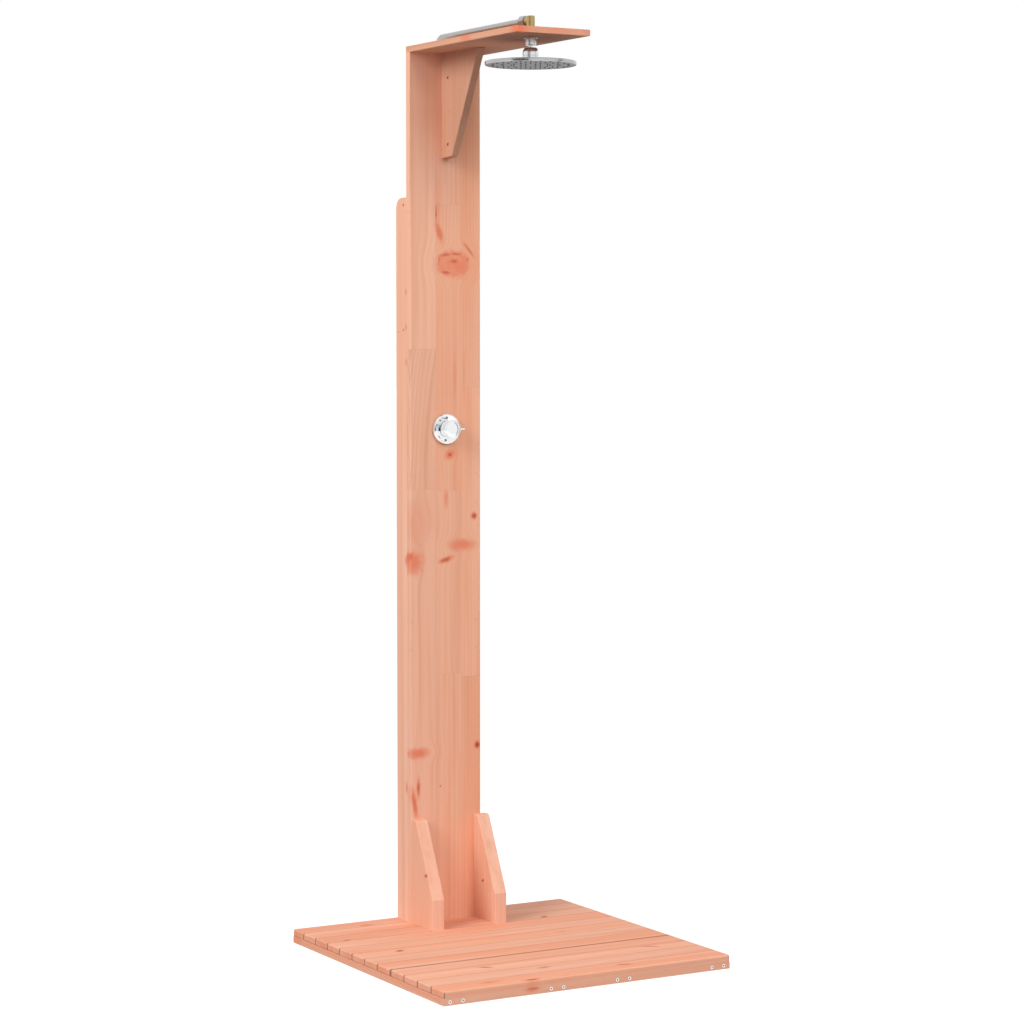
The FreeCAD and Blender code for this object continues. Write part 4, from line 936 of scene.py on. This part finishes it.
class SHOWER_OT_plumbing(bpy.types.Operator):
    """Models the valve's body, the elbow and the nuts, and finishes the pipe and its clips"""
    bl_idname = "shower.plumbing"
    bl_label = "Plumbing"

    def execute(self, context):
        brass, steel = finish("cast brass"), finish("satin steel")
        low, high = corners("riser_pipe")
        radius, bend = high.x, 0.021
        foot = Vector((0, high.y - radius, low.z))
        top = high.z - radius
        piece("bent_pipe", self.bent_pipe(foot, top, bend, radius, low.y), finish("drawn pipe"), "post", "pipe_steel",
              "riser_pipe")
        low, high = corners("elbow")
        leg = Vector((0, middle("ball_stem").y, low.z))
        crown = high.z - low.z
        upright = lathe([(0, 0), (0.0083, 0), (0.0083, 0.025), (0.0090, 0.0258), (0.0090, crown - 0.001),
                         (0.0080, crown), (0, crown)], leg, Z_AXIS, 64)
        arm = lathe([(0, 0), (0.0090, 0), (0.0090, 0.0152), (0.0084, 0.016), (0.0084, 0.0272), (0.0078, 0.028),
                     (0, 0.028)], Vector((0, leg.y, top)), Y_AXIS, 64)
        collar = self.hexagon(0.024, 0.005, leg + Vector((0, 0, 0.025)), Z_AXIS)
        piece("turned_elbow", fused([upright, arm, collar]), brass, "post", "brass", "elbow")
        low = corners("pipe_nuts")[0]
        nuts = [self.nut(Vector((0, low.y, top)), Y_AXIS), self.nut(Vector((0, foot.y, low.z)), Z_AXIS)]
        piece("hexagon_nuts", merged(nuts), steel, "post", "pipe_steel", "pipe_nuts")
        low, high = corners("valve_body")
        run = high.y - low.y
        outline = [(0, 0), (0.0305, 0), (0.031, 0.0005), (0.031, 0.0034), (0.0304, 0.004), (0.0206, 0.004),
                   (0.020, 0.0052), (0.020, 0.030), (0.019, 0.031), (0.0100, 0.031)]
        groove, crest = 0.0098, 0.01046      # radii of the inlet's thread
        for turn in range(7):
            start = 0.0322 + 0.0018 * turn
            outline += [(groove, start), (crest, start + 0.0006), (crest, start + 0.0009), (groove, start + 0.0015)]
        outline += [(0.0096, run), (0.0075, run), (0.0075, 0.012), (0, 0.012)]
        axis = middle("rosette")
        body = lathe(outline, Vector((axis.x, low.y, axis.z)), Y_AXIS, 64)
        outlet = lathe([(0, 0), (0.011, 0), (0.011, 0.032), (0.010, 0.033), (0.0084, 0.033), (0.0084, 0.0442),
                        (0.0078, 0.045), (0, 0.045)], Vector((0, foot.y, axis.z)), Z_AXIS, 48)
        piece("cast_valve_body", fused([body, outlet]), brass, "post", "brass", "valve_body")
        dress(["pipe_olives"], brass)
        dress(["pipe_clips", "board_washer"], steel)
        return {"FINISHED"}

    def bent_pipe(self, foot, top, bend, radius, front):
        """A pipe that rises from foot, bends forward and runs level at the height top as far as front."""
        bm = bmesh.new()
        ring = bmesh.ops.create_circle(bm, cap_ends=True, radius=radius, segments=32)["verts"]
        bmesh.ops.translate(bm, vec=foot, verts=ring)
        drawn_from(bm, [edge for edge in bm.edges if edge.is_boundary], (0, 0, top - bend - foot.z))
        end = [edge for edge in bm.edges if min(vert.co.z for vert in edge.verts) > top - bend - 1e-5]
        ends = list({vert for edge in end for vert in edge.verts})
        bmesh.ops.spin(bm, geom=ends + end, cent=(0, foot.y - bend, top - bend), axis=(1, 0, 0), dvec=(0, 0, 0),
                       angle=math.pi / 2, steps=16)
        last = [edge for edge in bm.edges if edge.is_boundary
                and all(abs(vert.co.y - (foot.y - bend)) < 1e-5 for vert in edge.verts)]
        bmesh.ops.edgeloop_fill(bm, edges=drawn_from(bm, last, (0, front - foot.y + bend, 0))[1])
        return bm

    def hexagon(self, flats, height, start, direction):
        """A six-sided prism. One that lies level has a flat on top."""
        bm = bmesh.new()
        bmesh.ops.create_cone(bm, cap_ends=True, segments=6, radius1=flats / math.sqrt(3),
                              radius2=flats / math.sqrt(3), depth=height)
        bmesh.ops.translate(bm, vec=(0, 0, height / 2), verts=bm.verts)
        if abs(direction.z) < 0.5:
            bmesh.ops.rotate(bm, cent=(0, 0, 0), matrix=Matrix.Rotation(math.radians(30), 3, "Z"), verts=bm.verts)
        aim(bm, bm.verts, start, direction)
        return bm

    def nut(self, start, direction):
        """A compression nut: a six-sided prism trimmed to a turned blank with chamfered ends and its bore."""
        flats, height, corner = 0.021, 0.022, 0.0121
        blank = lathe([(0.0085, 0), (corner - 0.0016, 0), (corner, 0.0010), (corner, height - 0.0016),
                       (corner - 0.0024, height), (0.0071, height), (0.0071, 0.016), (0.0085, 0.016)],
                      start, direction, 72)
        prism = self.hexagon(flats, height + 0.002, start - 0.001 * direction, direction)
        return fused([prism, blank], "INTERSECT")


class SHOWER_OT_head(bpy.types.Operator):
    """Models the rain head with its plate, nozzles, ball nut and stem"""
    bl_idname = "shower.head"
    bl_label = "Rain head"

    def execute(self, context):
        sizes = settings(context, "head")
        low, high = corners("head_shell")
        nut_low = corners("ball_nut")[0]
        axis = middle("head_shell")
        radius = (high.x - low.x) / 2
        face = Vector((axis.x, axis.y, low.z))
        hub_top = nut_low.z - 0.0003 - low.z
        rim, wall, bend = 0.008, sizes.wall, sizes.rim_round
        outline = [(radius - wall, 0.0004), (radius - wall * 0.7, 0), (radius - wall * 0.3, 0),
                   (radius, bend * 0.5), (radius, rim - bend * 1.2)]
        outline += arc((radius - bend, rim - bend * 1.2), (bend, bend), 0, 82, 5)
        hub = 0.020
        outline += [(radius * 0.75, rim + 0.0012), (radius * 0.45, rim + 0.0034), (hub + 0.004, hub_top - 0.0009),
                    (hub, hub_top), (0.0117, hub_top), (0.0117, high.z - low.z), (0.0075, high.z - low.z),
                    (0.0075, high.z - low.z - 0.003), (0, high.z - low.z - 0.003), (0, hub_top - 2 * wall),
                    (hub, hub_top - 2 * wall), (radius - wall, rim - 2 * wall)]
        piece("pressed_shell", lathe(outline, face, Z_AXIS, sizes.steps), finish("polished head"), "head",
              "polished_steel", "head_shell")
        low, high = corners("nozzle_plate")
        radius, thick = (high.x - low.x) / 2, high.z - low.z
        under = Vector((axis.x, axis.y, low.z))
        plate = lathe([(0, 0), (radius - 0.0028, 0), (radius - 0.0022, 0.0005), (radius - 0.0006, 0.0005),
                       (radius, 0.001), (radius, thick), (0, thick)], under, Z_AXIS, sizes.steps)
        piece("spray_plate", plate, finish("grey plate"), "head", "plate_grey", "nozzle_plate")
        drop = low.z - corners("nozzles")[0].z
        foot, tip = sizes.nozzle_foot, sizes.nozzle_tip
        cones = []
        for ring in range(1, sizes.nozzle_rings + 1):
            count = sizes.nozzles_per_ring * ring
            for k in range(count):
                angle = 2 * math.pi * (k + 0.5 * (ring % 2)) / count
                place = under + ring * sizes.nozzle_pitch * Vector((math.cos(angle), math.sin(angle), 0))
                cones.append(lathe([(foot, 0), (foot * 0.92, drop * 0.25), (tip * 1.1, drop * 0.85),
                                    (tip * 0.95, drop), (tip * 0.5, drop), (tip * 0.45, drop * 0.6),
                                    (0, drop * 0.55)], place, DOWN, 12, closed=False))
        piece("rubber_nozzles", merged(cones), finish("nozzle rubber"), "head", "nozzle_rubber", "nozzles")
        low, high = corners("ball_nut")
        radius, run = (high.x - low.x) / 2, high.z - low.z
        mouth, shoulder = 0.0100, run * 0.50
        outline = [(0.0118, 0), (radius - 0.0006, 0), (radius, 0.0006), (radius, run * 0.20),
                   (radius - 0.0008, run * 0.23), (radius - 0.0008, run * 0.27), (radius, run * 0.30),
                   (radius, shoulder)]
        outline += arc((mouth, shoulder), (radius - mouth, run - shoulder), 0, 90, 8)
        outline += [(0.0085, run - 0.0034), (0.0118, run - 0.009)]
        nut = lathe(outline, Vector((axis.x, axis.y, low.z)), Z_AXIS, sizes.steps)
        piece("turned_ball_nut", nut, finish("softened chrome"), "head", "polished_steel", "ball_nut")
        low, high = corners("ball_stem")
        ball = middle("ball_liner_upper")
        centre_z = low.z + 0.010
        ball_radius = 0.0098
        outline = arc((0, 0), (ball_radius, ball_radius), -90, 60, 16, first=0)
        socket = high.z - 0.015 - centre_z
        top = high.z - centre_z
        outline += [(0.005, 0.0090), (0.005, socket - 0.0004), (0.0056, socket), (0.0108, socket),
                    (0.012, socket + 0.0012), (0.012, top - 0.0006), (0.0114, top), (0.0084, top),
                    (0.0084, top - 0.012), (0, top - 0.012)]
        stem = lathe(outline, Vector((axis.x, ball.y, centre_z)), Z_AXIS, sizes.steps)
        piece("turned_stem", stem, finish("softened chrome"), "post", "polished_steel", "ball_stem")
        dress(["ball_liner_upper", "ball_liner_lower"], finish("liner plastic"))
        dress(["ball_seal", "plate_ring"], finish("black rubber"))
        return {"FINISHED"}


# ---- stage --------------------------------------------------------------------------------
class SHOWER_OT_stage(bpy.types.Operator):
    """Sets up the floor, the soft light, the white background and the camera"""
    bl_idname = "shower.stage"
    bl_label = "Stage"
    card_height = 5.0
    card_away = 3.2

    def execute(self, context):
        look = settings(context, "stage")
        scene = context.scene
        scene.view_settings.view_transform = "Standard"
        self.make_world(scene, look)
        self.make_floor(look)
        self.make_soft_box("key", Vector((-0.85, -0.17, 0.50)), 7.0, look.key_size, look.key_power)
        self.make_soft_box("fill", Vector((0.02, -0.86, 0.51)), 7.0, look.fill_size, look.fill_power)
        self.make_card("left card", math.radians(217), 2.3)
        self.make_card("right card", math.radians(316), 0.5)
        self.make_camera(scene, look)
        return {"FINISHED"}

    def seen(self, t):
        """1 for rays from the camera and for those that mirrors and glass send on."""
        path = t.add("ShaderNodeLightPath").outputs
        both = t.most(path["Is Camera Ray"], path["Is Glossy Ray"])
        return t.most(both, path["Is Transmission Ray"])

    def make_world(self, scene, look):
        world = bpy.data.worlds.new("white studio")
        t = bare_tree(world)
        light, white = t.add("ShaderNodeBackground"), t.add("ShaderNodeBackground")
        light.inputs["Color"].default_value = (1.0, 0.985, 0.97, 1.0)
        light.inputs["Strength"].default_value = look.sky
        white.inputs["Color"].default_value = (1.0, 1.0, 1.0, 1.0)
        white.inputs["Strength"].default_value = 1.0
        mix = t.add("ShaderNodeMixShader")
        t.feed(mix.inputs[0], self.seen(t))
        t.feed(mix.inputs[1], light.outputs[0])
        t.feed(mix.inputs[2], white.outputs[0])
        t.feed(t.add("ShaderNodeOutputWorld").inputs["Surface"], mix.outputs[0])
        scene.world = world

    def make_floor(self, look):
        bm = bmesh.new()
        bmesh.ops.create_circle(bm, cap_ends=True, radius=12.0, segments=96)
        floor = placed("floor", bm)
        material = bpy.data.materials.new("pale floor")
        t = bare_tree(material)
        plain, shown = t.add("ShaderNodeBsdfDiffuse"), t.add("ShaderNodeBsdfDiffuse")
        glow = t.add("ShaderNodeEmission")
        plain.inputs["Color"].default_value = (0.31, 0.305, 0.30, 1.0)
        shown.inputs["Color"].default_value = (0.30, 0.30, 0.30, 1.0)
        glow.inputs["Strength"].default_value = look.floor_pale
        both = t.add("ShaderNodeAddShader")
        t.feed(both.inputs[0], shown.outputs[0])
        t.feed(both.inputs[1], glow.outputs[0])
        mix = t.add("ShaderNodeMixShader")
        t.feed(mix.inputs[0], self.seen(t))
        t.feed(mix.inputs[1], plain.outputs[0])
        t.feed(mix.inputs[2], both.outputs[0])
        t.feed(t.add("ShaderNodeOutputMaterial").inputs["Surface"], mix.outputs[0])
        floor.data.materials.append(material)

    def make_soft_box(self, name, towards, away, size, power):
        """A round soft box that only lights, so that polished metal shows the plain studio."""
        light = bpy.data.lights.new(name, "AREA")
        light.shape = "DISK"
        light.size = size
        light.energy = power
        light.color = (1.0, 0.985, 0.965)
        box = bpy.data.objects.new(name, light)
        bpy.context.scene.collection.objects.link(box)
        target = Vector((0.0, 0.1, 0.9))
        box.location = target + towards.normalized() * away
        box.rotation_euler = (target - box.location).to_track_quat("-Z", "Y").to_euler()
        box.visible_camera = box.visible_glossy = False

    def make_card(self, name, bearing, width):
        """A grey card that only polished metal sees; bearing is its direction from the post, from +X."""
        bm = bmesh.new()
        bmesh.ops.create_grid(bm, x_segments=1, y_segments=1, size=0.5)
        bmesh.ops.scale(bm, vec=(width, self.card_height, 1), verts=bm.verts)
        stand = Vector((math.cos(bearing), math.sin(bearing), 0)) * self.card_away
        turn = Matrix.Rotation(bearing - math.pi / 2, 4, "Z") @ Matrix.Rotation(math.radians(90), 4, "X")
        place = Matrix.Translation(stand + Vector((0, 0.1, self.card_height / 2 - 1)))
        bmesh.ops.transform(bm, matrix=place @ turn, verts=bm.verts)
        card = placed(name, bm)
        material = bpy.data.materials.new(name)
        t = bare_tree(material)
        glow = t.add("ShaderNodeEmission")
        height = t.split(t.add("ShaderNodeTexCoord").outputs["Object"])[2]
        t.feed(glow.inputs["Strength"], t.ramp(height, 0.9, 2.4, 0.06, 0.42))
        t.feed(t.add("ShaderNodeOutputMaterial").inputs["Surface"], glow.outputs[0])
        card.data.materials.append(material)
        card.visible_camera = card.visible_diffuse = card.visible_shadow = card.visible_transmission = False

    def make_camera(self, scene, look):
        data = bpy.data.cameras.new("camera")
        data.sensor_width = 36.0
        data.lens = look.focal
        camera = bpy.data.objects.new("camera", data)
        camera.location = look.camera_place
        camera.rotation_euler = (look.camera_tilt, 0, look.camera_turn)
        scene.collection.objects.link(camera)
        scene.camera = camera


# ---- sidebar ------------------------------------------------------------------------------
makers = (SHOWER_OT_deck, SHOWER_OT_post, SHOWER_OT_screws, SHOWER_OT_valve, SHOWER_OT_plumbing, SHOWER_OT_head,
          SHOWER_OT_stage)


class SHOWER_PT_sidebar(bpy.types.Panel):
    """Lists the pieces of the shower post and their sizes"""
    bl_idname = "SHOWER_PT_sidebar"
    bl_label = "Shower Post"
    bl_space_type = "VIEW_3D"
    bl_region_type = "UI"
    bl_category = "Shower Post"

    def draw(self, context):
        for maker in makers:
            self.layout.operator(maker.bl_idname)
        for name, kind in groups.items():
            box = self.layout.box()
            box.label(text=name.capitalize())
            for label in kind.__annotations__:
                box.prop(settings(context, name), label)


classes = (*groups.values(), *makers, SHOWER_PT_sidebar)


def register():
    for kind in classes:
        bpy.utils.register_class(kind)
    for name, kind in groups.items():
        setattr(bpy.types.Scene, "shower_" + name, PointerProperty(type=kind))


def unregister():
    for name in groups:
        delattr(bpy.types.Scene, "shower_" + name)
    for kind in reversed(classes):
        bpy.utils.unregister_class(kind)


def main():
    register()
    for make_group in (grain_group, knot_group, filler_group, strip_group, smudge_group, brushed_group):
        make_group()
    for maker in makers:
        area, name = maker.bl_idname.split(".")
        getattr(getattr(bpy.ops, area), name)()


if __name__ == "__main__":
    main()
